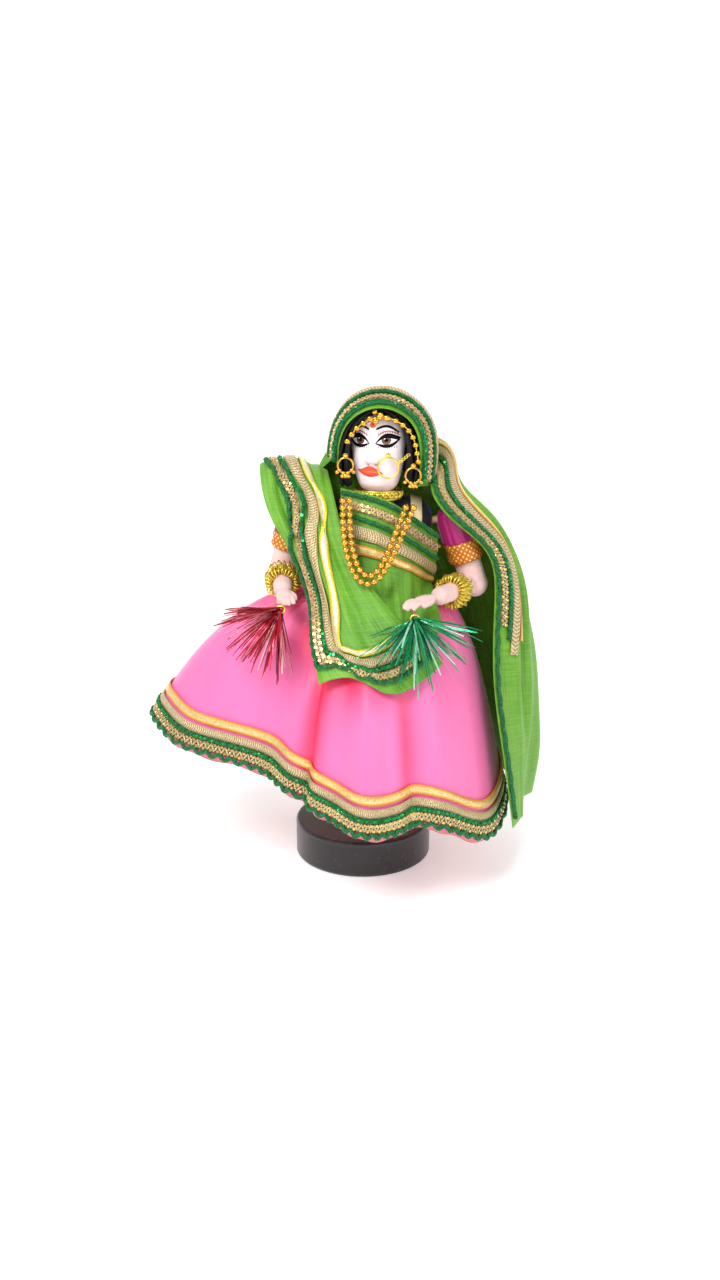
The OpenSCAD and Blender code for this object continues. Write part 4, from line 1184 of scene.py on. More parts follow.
class DOLL_OT_pallu(DollOperator):
    """Drapes the embroidered shoulder end of the veil over the right shoulder and across the lap"""

    bl_idname = "doll.pallu"
    bl_label = "Shoulder drape"

    def execute(self, context):
        ride, s = "figure", sizes()
        wide = path_length([pallu.at(k / 40, 0.7) for k in range(41)])
        tall = path_length([pallu.at(0.5, k / 60) for k in range(61)])
        cloth_piece(
            "pallu_silk", pallu, 90, 240, "green_silk", ride, ("pallu",),
            area=sheet_area(pallu),
        )
        cord_piece("pallu_outer_cord", pallu, border(1.5, 0.5, 0.01, 0.9), ride, ("pallu_cord_outer",), 620, 0.3, 5)
        lace_piece("pallu_zigzag_lace", pallu, border(4.2), lambda t: 1.8 * MM, ride, ("pallu_lace",), 62)
        cord_piece("pallu_inner_cord", pallu, border(7.2), ride, ("pallu_cord_inner",), 700, 0.2, 5)
        sequin_row("pallu_sequins", pallu, border(7.2), ride, 110, s.cord * 1.05)
        ribbon_piece(
            "pallu_chevron_braid", pallu, border(8.6), border(12.8), "gold_braid", ride, ("pallu_braid",), crown=0.4,
            cols=500,
        )
        ribbon_piece(
            "pallu_gota", pallu, border(14.0), border(17.2), "yellow_ribbon", ride, ("pallu_ribbon",), cols=340,
        )
        cord_piece(
            "pallu_bottom_cord", pallu, lambda t: (0.45 + 0.45 * t, pallu_v(1.5, 0.45 + 0.45 * t)), ride,
            ("pallu_cord_bottom",), 120, 0.3, 5,
        )
        return {"FINISHED"}


class DOLL_OT_chest(DollOperator):
    """Wraps the embroidered silk across the chest"""

    bl_idname = "doll.chest"
    bl_label = "Chest wrap"

    def execute(self, context):
        ride = "figure"
        wide = path_length([chest.at(k / 40, 0.5) for k in range(41)])
        tall = path_length([chest.at(0.5, k / 40) for k in range(41)])
        cloth_piece(
            "chest_silk", chest, 110, 100, "green_silk", ride, ("chest_wrap",),
            area=sheet_area(chest),
        )

        def across(v):
            return lambda t: (0.03 + 0.96 * t, v)

        cord_piece("chest_upper_cord", chest, across(0.03), ride, ("wrap_cord_upper",), 220, 0.15, 5)
        lace_piece("chest_zigzag_lace", chest, across(0.11), lambda t: 1.8 * MM, ride, ("wrap_lace",), 17)
        cord_piece("chest_lower_cord", chest, across(0.195), ride, ("wrap_cord_lower",), 220, 0.15, 5)
        ribbon_piece(
            "chest_chevron_braid", chest, across(0.35), across(0.25), "gold_braid", ride, ("wrap_braid",), crown=0.35,
            cols=200,
        )
        ribbon_piece(
            "chest_gota", chest, across(0.46), across(0.39), "gota_ribbon", ride, ("wrap_ribbon",), cols=160,
        )
        return {"FINISHED"}


NECK_LOW, NECK_HIGH = (0.006, -0.001, 0.152), (0.006, -0.001, 0.168)
NECK_TURN = ("figure", "head", NECK_LOW, NECK_HIGH)


class DOLL_OT_odhni(DollOperator):
    """Lays the long veil over the head and down the back, with its borders"""

    bl_idname = "doll.odhni"
    bl_label = "Veil"

    def execute(self, context):
        s = sizes()
        wide = path_length([odhni.at(k / 60, 0.7) for k in range(61)])
        tall = path_length([odhni.at(0.5, k / 80) for k in range(81)])
        cloth_piece(
            "odhni_silk", odhni, 190, 220, "green_silk", NECK_TURN, ("hood", "veil_back"),
            area=sheet_area(odhni),
        )

        def over(v):
            return lambda t: (0.02 + 0.96 * t, v)

        cord_piece("hood_front_cord", odhni, over(0.016), NECK_TURN, ("hood_cord",), 330, 0.15, 5)
        sequin_row("hood_front_sequins", odhni, over(0.016), NECK_TURN, 90, s.cord * 1.05)
        lace_piece("hood_zigzag_lace", odhni, over(0.043), lambda t: 1.5 * MM, NECK_TURN, ("hood_lace",), 24)
        cord_piece("hood_back_cord", odhni, over(0.071), NECK_TURN, (), 330, 0.15, 5)
        ribbon_piece(
            "hood_chevron_braid", odhni, over(0.125), over(0.084), "gold_braid", NECK_TURN, ("hood_braid",), crown=0.3,
            cols=260,
        )

        def edge(inside):
            return lambda v: inside * MM / edge_width(v)

        start = 0.305
        cord_piece("odhni_edge_cord", odhni, strip_line(edge(1.5), start, 0.99), NECK_TURN, ("veil_cord",), 600, 0.3, 6)
        lace_piece("odhni_zigzag_lace", odhni, strip_line(edge(4.2), start, 0.74), lambda t: 1.8 * MM, NECK_TURN, (), 36)
        cord_piece("odhni_inner_cord", odhni, strip_line(edge(7.2), start, 0.76), NECK_TURN, (), 420, 0.2, 5)
        sequin_row("odhni_sequins", odhni, strip_line(edge(7.2), start, 0.7), NECK_TURN, 60, s.cord * 1.05)
        ribbon_piece(
            "odhni_chevron_braid", odhni, strip_line(edge(8.6), start, 0.78), strip_line(edge(12.6), start, 0.78),
            "gold_braid", NECK_TURN, ("veil_braid",), crown=0.35, cols=300,
        )
        ribbon_piece(
            "odhni_gota", odhni, strip_line(edge(13.6), start, 0.76), strip_line(edge(16.6), start, 0.76), "gota_ribbon",
            NECK_TURN, (), cols=240,
        )
        return {"FINISHED"}


def edge_width(v):
    """Width of the veil at v, measured near its embroidered edge."""
    return path_length([odhni.at(k / 40, v) for k in range(9)]) * 5


# ---------------------------------------------------------------------------------------------
# Arms, hands and tinsel
# ---------------------------------------------------------------------------------------------

# Where each arm's joints lie, from the middles of its nodes.
ARMS = {"left": ((37, 0, 130.5), (46, 1, 103.5), (30, -28, 105.5), (16, -41, 104.5)),
        "right": ((-27.5, 0, 130.5), (-33, 0, 111), (-32, -20, 106.5), (-30, -31, 103.5))}
UPPER_R, ELBOW_R, LAP_R, WRIST_R = 6.0, 5.3, 4.0, 3.6


def lathe_along(bm, start, end, radii, sides=32, ripple=None, uv_turns=None):
    """A skin turned round the line from start to end, its radii spread evenly along it."""
    start, end = Vector(start), Vector(end)
    axis = (end - start).normalized()
    turn = axis.to_track_quat("Z", "Y")
    length, rows = (end - start).length, len(radii) - 1
    around = TURN * max(radii) / MM

    def place(s, t):
        r = radii[int(round(t * rows))]
        a = TURN * (s % 1.0)
        if ripple:
            r += ripple(s, t)
        return start + turn @ Vector((r * math.cos(a), r * math.sin(a), length * t))

    uv = lambda s, t: (s * around, t * length / MM)
    return add_grid(bm, sides, rows, place, uv, close_u=True)


class DOLL_OT_arms(DollOperator):
    """Stuffs the cloth arms and sews their seams, sleeves and brocade cuffs"""

    bl_idname = "doll.arms"
    bl_label = "Arms and sleeves"

    def execute(self, context):
        for side, joints in ARMS.items():
            shoulder, elbow, wrist, _ = (doll_point(p) for p in joints)
            body = side + "_arm"
            for node in ("upper_arm", "forearm"):
                recoat(f"{side}_{node}", "pink_cloth_skin")
            self.seams(side, shoulder, elbow, wrist, body)
            self.sleeve(side, shoulder, elbow, body)
        return {"FINISHED"}

    def seams(self, side, shoulder, elbow, wrist, body):
        """Stitches run down the inner side of the arm and round the elbow."""
        bm = bmesh.new()
        for start, end, r0, r1, share in ((shoulder, elbow, UPPER_R, ELBOW_R, (0.64, 0.98)), (elbow, wrist, LAP_R, WRIST_R, (0.34, 0.95))):
            axis = (end - start).normalized()
            out = axis.cross(Vector((0, 0.35, 1))).normalized()
            count = int((end - start).length * (share[1] - share[0]) / (1.5 * MM))
            for k in range(count):
                t = share[0] + (share[1] - share[0]) * k / count
                r = (r0 + (r1 - r0) * t + 0.02) * MM
                a = start.lerp(end, t) + out * r
                b = a + axis * 0.8 * MM
                add_tube(bm, [a, (a + b) / 2 + out * 0.12 * MM, b], 0.13 * MM, 5)
        finish_piece(f"{side}_arm_stitches", bm, finish("stuffed_body"), body)

    def sleeve(self, side, shoulder, elbow, body):
        """The gathered sleeve and the stiff cuff round its end."""
        axis = elbow - shoulder
        inner = (UPPER_R + 0.25) * MM
        top = shoulder - axis.normalized() * 6.0 * MM
        cap = (elbow - shoulder) * 0.31 + shoulder
        draw = random.Random(side)
        phase = draw.uniform(0, TURN)

        def puckers(s, t):
            gather = 0.22 * math.sin(TURN * 13 * s + phase) + 0.14 * math.sin(TURN * 23 * s + 2 * phase)
            return (gather * (0.2 + t)) * MM

        reach = (cap - top).length
        rows, radii = 26, []
        for k in range(rows + 1):
            below = 6.0 * MM - reach * k / rows
            dome = math.sqrt(max((inner + 0.9 * MM) ** 2 - max(below, 0) ** 2, 0))
            radii.append(max(dome, 0.02 * MM))
        bm = bmesh.new()
        lathe_along(bm, top, cap, radii, 72, puckers)
        sleeve = finish_piece(f"{side}_sleeve_satin", bm, finish("magenta_sleeve"), body, (f"{side}_sleeve",))
        thicken(sleeve, 0.35 * MM)
        start, end = shoulder + axis * 0.295, shoulder + axis * 0.62
        shape = [1.02, 1.12, 1.14, 1.1, 1.08, 1.08, 1.1, 1.13, 1.1, 1.0]
        bm = bmesh.new()
        lathe_along(bm, start, end, [inner * k + 0.35 * MM for k in shape], 72, lambda s, t: 0.1 * MM * math.sin(TURN * 9 * s + 5 * t))
        cuff = finish_piece(f"{side}_cuff_brocade", bm, finish("brocade_cuff"), body, (f"{side}_cuff",))
        thicken(cuff, 0.5 * MM)


class DOLL_OT_hands(DollOperator):
    """Shapes the stuffed hands, each with its fingers curled over the tinsel"""

    bl_idname = "doll.hands"
    bl_label = "Hands"

    def execute(self, context):
        for side, joints in ARMS.items():
            _, _, wrist, tip = (doll_point(p) for p in joints)
            ahead = (tip - wrist).normalized()
            across = ahead.cross(Vector((0, 0, 1))).normalized()
            up = across.cross(ahead)
            length = (tip - wrist).length
            bm = bmesh.new()
            palm = [wrist + ahead * length * t for t in (0.24, 0.34, 0.46, 0.58, 0.68)]
            add_tube(bm, palm, [2.3 * MM, 2.9 * MM, 3.2 * MM, 3.1 * MM, 2.2 * MM], 14, [up] * 5, flat=0.68)
            for k, (sideways, reach) in enumerate(((-2.7, 0.94), (-0.95, 1.02), (0.85, 1.0), (2.5, 0.9))):
                knuckle = wrist + ahead * length * 0.6 + across * sideways * 0.85 * MM
                end = wrist + ahead * length * reach + across * sideways * 1.15 * MM
                bend = [knuckle, knuckle.lerp(end, 0.4) + up * 0.7 * MM, knuckle.lerp(end, 0.8) + up * 0.2 * MM, end - up * 1.2 * MM]
                add_tube(bm, spline(bend, 9), np.linspace(1.15, 0.8, 9) * MM, 10)
            thumb = [wrist + ahead * length * 0.34 - across * 2 * MM, wrist + ahead * length * 0.5 - across * 4.2 * MM,
                     wrist + ahead * length * 0.72 - across * 4.0 * MM - up * 0.6 * MM]
            add_tube(bm, spline(thumb, 8), np.linspace(1.25, 0.85, 8) * MM, 10)
            hand = finish_piece(f"{side}_stuffed_hand", bm, finish("pink_cloth_skin"), side + "_arm", (f"{side}_hand",))
            melt(hand, 0.32 * MM, 3)
        return {"FINISHED"}


def melt(piece, voxel, rounds):
    """Joins a piece's overlapping shapes into one skin and softens it."""
    skin = piece.modifiers.new("Skin", "REMESH")
    skin.mode, skin.voxel_size, skin.use_smooth_shade = "VOXEL", voxel, True
    soft = piece.modifiers.new("Soft", "SMOOTH")
    soft.factor, soft.iterations = 0.5, rounds
    bpy.context.view_layer.update()
    shape = bpy.data.meshes.new_from_object(piece.evaluated_get(bpy.context.evaluated_depsgraph_get()))
    piece.modifiers.clear()
    materials = list(piece.data.materials)
    piece.data = shape
    shape.materials.clear()
    for material in materials:
        shape.materials.append(material)


class DOLL_OT_bangles(DollOperator):
    """Coils the gilt wire of each bangle into a ring of loose loops"""

    bl_idname = "doll.bangles"
    bl_label = "Bangles"

    def execute(self, context):
        for side, joints in ARMS.items():
            _, elbow, wrist, _ = (doll_point(p) for p in joints)
            axis = (wrist - elbow).normalized()
            middle = elbow.lerp(wrist, 0.6)
            turn = axis.to_track_quat("Z", "Y")
            draw = random.Random("bangle" + side)
            bm = bmesh.new()
            for layer in range(5):
                loops, steps = 19 + 2 * layer, 26
                phase, shift = draw.uniform(0, TURN), (layer - 2) * 1.5
                path = []
                for k in range(loops * steps):
                    a = TURN * k / (loops * steps)
                    b = a * loops + phase
                    wide = 1.35 + 0.35 * math.sin(a * 5 + phase) + 0.25 * math.sin(a * 11 + layer)
                    r = 5.4 + wide * math.cos(b) + 0.25 * math.sin(a * 3 + phase)
                    z = shift + (wide + 0.35) * math.sin(b)
                    path.append(middle + turn @ Vector((r * math.cos(a), r * math.sin(a), z)) * MM)
                add_tube(bm, path, 0.3 * MM, 5, loop=True)
            finish_piece(f"{side}_bangle_coils", bm, finish("gold_wire"), side + "_arm", (f"{side}_bangle",))
            spots = []
            for k in range(16):
                a = TURN * k / 16 + draw.uniform(-0.1, 0.1)
                out = turn @ Vector((math.cos(a), math.sin(a), 0))
                spots.append((middle + out * 6.6 * MM + axis * draw.uniform(-2.4, 2.4) * MM, out))
            bm = bmesh.new()
            add_sequins(bm, spots, 1.0 * MM, 0.3 * MM)
            finish_piece(f"{side}_bangle_sequins", bm, finish("gold_sequin"), side + "_arm", (), smooth=False)
        return {"FINISHED"}


# Middle of each bunch's tie and the arc that its strips spread over, in the plane that faces the front.
BUNCHES = {
    "left": {"tie": (19.5, -45, 101), "spread": (-160, 0), "body": "left_arm", "node": "green_tinsel", "foil": "green_foil", "lean": 0.30},
    "right": {"tie": (-32.0, -33.5, 101.5), "spread": (-198, -78), "body": "right_arm", "node": "red_tinsel", "foil": "red_foil", "lean": 0.25},
}


class DOLL_OT_tinsel(DollOperator):
    """Ties the bunch of cut foil into each hand"""

    bl_idname = "doll.tinsel"
    bl_label = "Tinsel"

    def execute(self, context):
        s = sizes()
        for side, bunch in BUNCHES.items():
            tie = doll_point(bunch["tie"])
            draw = random.Random("tinsel" + side)
            low, high = (math.radians(a) for a in bunch["spread"])
            bm = bmesh.new()
            layer = bm.loops.layers.uv.verify()
            for k in range(s.strips):
                angle = low + (high - low) * (k + draw.random()) / s.strips
                lean = draw.gauss(bunch["lean"], 0.42)
                ahead = Vector((math.cos(angle) * math.cos(lean), -math.sin(lean), math.sin(angle) * math.cos(lean)))
                length = s.tinsel * draw.uniform(0.6, 1.0)
                self.strip(bm, layer, tie, ahead, length, draw)
            finish_piece(f"{side}_{bunch['foil']}_strips", bm, finish(bunch["foil"]), bunch["body"], (bunch["node"],), smooth=False)
            bm = bmesh.new()
            ring = [tie + Vector((1.5 * math.cos(a), 0.9 * math.sin(a) * 0.4, 1.2 * math.sin(a))) * MM for a in np.linspace(0, TURN, 17)[:-1]]
            add_tube(bm, ring, 0.5 * MM, 8, loop=True)
            finish_piece(f"{side}_tinsel_tie", bm, finish("gold_wire"), bunch["body"], ())
        return {"FINISHED"}

    def strip(self, bm, layer, tie, ahead, length, draw):
        """One narrow strip that droops and twists a little."""
        side = ahead.cross(Vector((draw.uniform(-1, 1), draw.uniform(-1, 1), draw.uniform(-1, 1)))).normalized()
        bend = side.cross(ahead) * draw.uniform(-0.12, 0.12) - Vector((0, 0, 1)) * draw.uniform(0.02, 0.14)
        half, steps = draw.uniform(0.22, 0.4) * MM, 5
        tone, twist = draw.random(), draw.uniform(-1.2, 1.2)
        start = tie + Vector((draw.uniform(-1, 1), draw.uniform(-0.5, 0.5), draw.uniform(-0.8, 0.8))) * MM

        def place(a, b):
            spot = start + ahead * length * b + bend * length * b * b
            across = (side * math.cos(twist * b) + side.cross(ahead) * math.sin(twist * b)) * half
            return spot + across * (2 * a - 1) * (1 if b < 0.9 else 0.6)

        add_grid(bm, 1, steps, place, lambda a, b: (tone, b))


# ---------------------------------------------------------------------------------------------
# Head, face and hair
# ---------------------------------------------------------------------------------------------

FACE_TURN = math.radians(11.5)
FACE_RIGHT = Vector((math.cos(FACE_TURN), -math.sin(FACE_TURN), 0))
FACE_AHEAD = Vector((-math.sin(FACE_TURN), -math.cos(FACE_TURN), 0))
face_skin = None


def face_point(x, z, lift=0.04):
    """A place on the front of the head, x to the onlooker's right and z up, in millimetres from its middle."""
    start = HEAD + (FACE_RIGHT * x + Vector((0, 0, z))) * MM + FACE_AHEAD * 40 * MM
    spot, normal, _, _ = face_skin.ray_cast(start, -FACE_AHEAD)
    return spot + normal * lift * MM


def soft_hill(x, z, cx, cz, wide, tall):
    """A rounded hill on the face, one at its middle."""
    return math.exp(-(((x - cx) / wide) ** 2) - ((z - cz) / tall) ** 2)


def features(x, z):
    """How far the moulded features stand out of the plain head, in millimetres."""
    ridge = 1.5 * soft_hill(x, z, 0, 1.5, 1.5, 4.2)
    tip = 2.6 * soft_hill(x, z, 0, -2.4, 1.9, 1.9)
    wings = 1.1 * (soft_hill(x, z, -1.9, -3.0, 1.2, 1.1) + soft_hill(x, z, 1.9, -3.0, 1.2, 1.1))
    sockets = -0.75 * (soft_hill(x, z, -5.2, 4.8, 3.6, 2.4) + soft_hill(x, z, 5.2, 4.8, 3.6, 2.4))
    lips = 0.8 * soft_hill(x, z, -0.8, -7.0, 3.6, 1.5) - 0.35 * soft_hill(x, z, -0.8, -9.6, 3.0, 0.9)
    chin = 0.6 * soft_hill(x, z, 0, -12.6, 3.2, 2.4)
    cheeks = 0.5 * (soft_hill(x, z, -6.5, -2.5, 3.4, 3.4) + soft_hill(x, z, 6.5, -2.5, 3.4, 3.4))
    return ridge + tip + wings + sockets + lips + chin + cheeks


class DOLL_OT_head(DollOperator):
    """Moulds the smooth head with its nose, lips, eye sockets and chin"""

    bl_idname = "doll.head"
    bl_label = "Head"

    def execute(self, context):
        global face_skin
        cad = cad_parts["head"]
        whole = bmesh.new()
        whole.from_mesh((cad[0] if isinstance(cad, list) else cad).data)
        bmesh.ops.remove_doubles(whole, verts=whole.verts, dist=1e-6)
        hull = bmesh.ops.convex_hull(whole, input=whole.verts)["geom"]
        shell = bmesh.new()
        points = [v.co.copy() for v in hull if isinstance(v, bmesh.types.BMVert)]
        for p in points:
            shell.verts.new(p)
        bmesh.ops.convex_hull(shell, input=shell.verts)
        tree = BVHTree.FromBMesh(shell)
        bm = bmesh.new()
        bmesh.ops.create_uvsphere(bm, u_segments=112, v_segments=84, radius=1.0)
        middle = HEAD + Vector((0, -0.5, -0.5)) * MM
        for v in bm.verts:
            away = v.co.normalized()
            spot, _, _, _ = tree.ray_cast(middle + away * 60 * MM, -away)
            v.co = spot
        for _ in range(6):
            bmesh.ops.smooth_vert(bm, verts=bm.verts, factor=0.5, use_axis_x=True, use_axis_y=True, use_axis_z=True)
        for v in bm.verts:
            away = v.co - HEAD
            ahead = away.dot(FACE_AHEAD) / MM
            if ahead > 2:
                x, z = away.dot(FACE_RIGHT) / MM, away.z / MM
                v.co += FACE_AHEAD * features(x, z) * min((ahead - 2) / 4, 1) * MM
        bmesh.ops.recalc_face_normals(bm, faces=bm.faces)
        face_skin = BVHTree.FromBMesh(bm)
        whole.free()
        shell.free()
        finish_piece("moulded_head", bm, finish("painted_face"), "head", ("head",))
        return {"FINISHED"}


def painted(name, material, shapes):
    """Paint on the face: each shape is a strip between a lower and an upper line of (x, z) points."""
    bm = bmesh.new()
    for lower, upper, lift in shapes:
        cols = 28
        low, high = (spline([(x, 0, z) for x, z in line], cols + 1) for line in (lower, upper))

        def place(s, t, low=low, high=high, lift=lift):
            k = int(round(s * cols))
            p = low[k] * (1 - t) + high[k] * t
            return face_point(p[0], p[2], lift)

        add_grid(bm, cols, 6, place)
    bmesh.ops.recalc_face_normals(bm, faces=bm.faces)
    piece = finish_piece(name, bm, finish(material), "head", ())
    return thicken(piece, 0.03 * MM, 0.0)


def dot(x, z, r, lift=0.06):
    """The lower and upper lines of a round dab of paint."""
    lower = [(x + r * math.cos(a), z + r * math.sin(a)) for a in np.linspace(math.pi, TURN, 9)]
    upper = [(px, 2 * z - pz) for px, pz in lower]
    return lower, upper, lift


class DOLL_OT_face(DollOperator):
    """Paints the eyes, brows, lips, the painted shade under the nose and the mark on the forehead"""

    bl_idname = "doll.face"
    bl_label = "Painted face"

    def execute(self, context):
        whites, kohl, irises, pupils, lids, lashes, glints = [], [], [], [], [], [], []
        for side in (-1, 1):

            def eye(points, side=side):
                return [(side * (5.2 + x), 4.9 + z) for x, z in points]

            whites.append((eye([(-3.5, -0.7), (-1.6, -1.6), (0.6, -1.7), (2.6, -1.0), (3.9, 0.0)]),
                           eye([(-3.5, -0.7), (-1.8, 1.3), (0.4, 2.0), (2.5, 1.4), (3.9, 0.0)]), 0.05))
            kohl.append((eye([(-4.1, -1.3), (-1.8, 0.7), (0.4, 1.1), (2.6, 0.6), (4.4, -0.1)]),
                         eye([(-4.0, -0.9), (-2.0, 2.0), (0.4, 3.0), (2.8, 2.4), (5.0, 1.0)]), 0.1))
            kohl.append((eye([(-3.9, -1.2), (-1.6, -2.7), (0.8, -2.9), (2.8, -2.2), (4.6, 0.1)]),
                         eye([(-3.9, -0.9), (-1.6, -1.6), (0.7, -1.7), (2.6, -1.0), (4.0, 0.3)]), 0.1))
            irises.append(dot(side * 5.1, 5.0, 1.8, 0.08))
            pupils.append(dot(side * 5.1, 5.0, 0.75, 0.11))
            glints.append(dot(side * 5.1 - 0.6, 5.6, 0.26, 0.14))
            lids.append((eye([(-3.3, 1.5), (-1.8, 2.9), (0.3, 3.5), (2.6, 3.0), (4.2, 1.9)]),
                         eye([(-3.4, 1.8), (-1.9, 3.4), (0.3, 4.1), (2.8, 3.5), (4.5, 2.1)]), 0.05))
            for k in range(9):
                t = k / 8
                x = -2.9 + 6.4 * t
                top = 2.1 + 0.6 * math.sin(math.pi * t)
                lashes.append((eye([(x, top), (x + 0.1 + 0.5 * (t - 0.4), top + 0.65), (x + 0.3 * (t - 0.4) + 0.05, top + 1.25)]),
                               eye([(x + 0.2, top), (x + 0.3 + 0.5 * (t - 0.4), top + 0.65), (x + 0.3 * (t - 0.4) + 0.1, top + 1.25)]), 0.08))
                low = -2.2 - 0.3 * math.sin(math.pi * t)
                lashes.append((eye([(x, low), (x + 0.05, low - 0.4), (x + 0.1 * t, low - 0.8)]),
                               eye([(x + 0.18, low), (x + 0.2, low - 0.4), (x + 0.1 * t + 0.05, low - 0.8)]), 0.08))
        painted("eye_whites", "white_paint", whites)
        painted("eye_irises", "brown_paint", irises)
        painted("eye_pupils", "black_paint", pupils)
        painted("eye_glints", "white_paint", glints)
        painted("eye_kohl", "black_paint", kohl)
        painted("eye_lashes", "black_paint", lashes)
        painted("eye_lids", "lid_paint", lids)
        brows = [
            ([(s * 1.5, 8.9), (s * 3.9, 10.1), (s * 6.6, 9.9), (s * 9.4, 7.6)],
             [(s * 1.3, 9.5), (s * 3.8, 11.0), (s * 6.8, 10.9), (s * 9.7, 8.0)], 0.07)
            for s in (-1, 1)
        ]
        painted("brows", "black_paint", brows)
        painted("lips", "red_lips", [
            ([(-6.4, -6.8), (-3.9, -8.3), (-1.2, -9.4), (1.4, -8.9), (3.9, -8.0)],
             [(-6.4, -6.5), (-4.0, -6.2), (-1.7, -4.7), (-0.9, -5.1), (-0.1, -4.7), (1.8, -6.3), (3.9, -7.7)], 0.07)])
        painted("lip_line", "lid_paint", [
            ([(-4.8, -7.1), (-2.6, -7.0), (-0.9, -7.3), (0.9, -7.2), (3.0, -7.7)],
             [(-4.8, -6.95), (-2.6, -6.7), (-0.9, -7.0), (0.9, -6.9), (3.0, -7.6)], 0.12)])
        painted("forehead_mark", "bindi_paint", [dot(0.0, 11.0, 1.25, 0.12)])
        # Two dabs of painted shade under the nose tip, where the nostrils would be.
        painted("nose_shade_dots", "nose_shade_paint", [dot(-1.5, -4.2, 0.55, 0.05), dot(1.5, -4.2, 0.55, 0.05)])
        return {"FINISHED"}


class DOLL_OT_hair(DollOperator):
    """Lays the parted hair in strands from the crown to the shoulders"""

    bl_idname = "doll.hair"
    bl_label = "Hair"

    def execute(self, context):
        recoat("hair", "black_hair")
        draw = random.Random("hair")
        bm = bmesh.new()
        for side in (-1, 1):
            for k in range(68):
                t = (k % 34) / 33
                outer = k // 34
                drop = draw.uniform(0.9, 1.1)
                front = -12.6 + 12.5 * t + 1.4 * outer
                high = 15.8 + 2.6 * math.sin(math.pi * min(t + 0.2, 1)) + 1.8 * outer
                wide = 12.2 + 0.5 * math.sin(math.pi * t) + draw.uniform(-0.15, 0.25) + 2.3 * outer
                path = [
                    (0.3 * side, front - 0.2, high),
                    (side * 5.5, front - 0.2, high - 2.0),
                    (side * (wide - 2.0), front * 0.92, 9.8),
                    (side * wide, front * 0.80 + 0.2, 2.0),
                    (side * (wide + 0.6), front * 0.72 + 0.4, -7.0),
                    (side * (wide - 0.6 + 0.8 * t), front * 0.62 + 0.6, -12.6 * drop),
                ]
                lock = spline([HEAD + Vector(p) * MM for p in path], 26)
                thick = 0.5 + 0.25 * draw.random()
                radii = [thick * MM * (0.55 + 0.75 * math.sin(math.pi * min(0.12 + 0.8 * j / 25, 1))) for j in range(26)]
                add_tube(bm, lock, radii, 6)
        finish_piece("hair_locks", bm, finish("black_hair"), "head", ())
        return {"FINISHED"}


# ---------------------------------------------------------------------------------------------
# Jewellery
# ---------------------------------------------------------------------------------------------


class DOLL_OT_necklaces(DollOperator):
    """Threads the two bead necklaces and the gilt choker"""

    bl_idname = "doll.necklaces"
    bl_label = "Necklaces"

    def execute(self, context):
        s = sizes()
        for name, string in (("inner", INNER_STRING), ("outer", OUTER_STRING)):
            path = spline([doll_point(p) for p in string], 200)
            self.beads(f"{name}_necklace_beads", path, s.bead, "figure", (f"necklace_{name}",))
        self.choker()
        return {"FINISHED"}

    def beads(self, name, path, width, body, replaces):
        """Round beads, each with a small flat rim at its ends, and the thread through them."""
        count = int(path_length(path) / (width * 1.0))
        spots = even(path, count)
        bm = bmesh.new()
        for a, b in zip(spots[:-1], spots[1:]):
            along = Vector(b - a).to_track_quat("Z", "Y").to_matrix().to_4x4()
            matrix = Matrix.Translation(Vector((a + b) / 2)) @ along
            bmesh.ops.create_uvsphere(bm, u_segments=14, v_segments=9, radius=width / 2, matrix=matrix)
            for end in (-1, 1):
                rim = matrix @ Matrix.Translation((0, 0, end * width * 0.475))
                bmesh.ops.create_cone(bm, cap_ends=True, segments=8, radius1=width * 0.2, radius2=width * 0.2, depth=width * 0.05, matrix=rim)
        piece = finish_piece(name, bm, finish("gold_beads"), body, replaces)
        bm = bmesh.new()
        add_tube(bm, spots, 0.22 * MM, 6)
        finish_piece(name + "_thread", bm, finish("black_hair"), body, ())
        return piece

    def choker(self):
        """Zigzag braid of gilt wire between two plain cords, round the neck."""
        middle = doll_point((6, -3, 142.0))
        for k, (height, wire, zig) in enumerate(((-1.6, 0.42, 0), (1.6, 0.42, 0), (0, 0.5, 1.1), (0, 0.5, -1.1))):
            path = []
            steps = 216 if zig else 96
            for j in range(steps):
                a = TURN * j / steps
                z = height + zig * math.sin(a * 27)
                r = 9.5 + (0.3 * math.cos(a * 27) if zig else 0)
                path.append(middle + Vector((r * math.cos(a), r * math.sin(a), z)) * MM)
            bm = bmesh.new()
            add_tube(bm, path, wire * MM, 6, loop=True)
            finish_piece(f"choker_wire_{k}", bm, finish("gold_wire"), "figure", ("choker",) if k == 0 else ())
        bm = bmesh.new()
        add_beads(bm, [middle + Vector((9.9 * math.cos(a), 9.9 * math.sin(a), 0)) * MM for a in np.linspace(0, TURN, 28)[:-1]], 0.55 * MM, 1)
        finish_piece("choker_beads", bm, finish("gold_beads"), "figure", ())


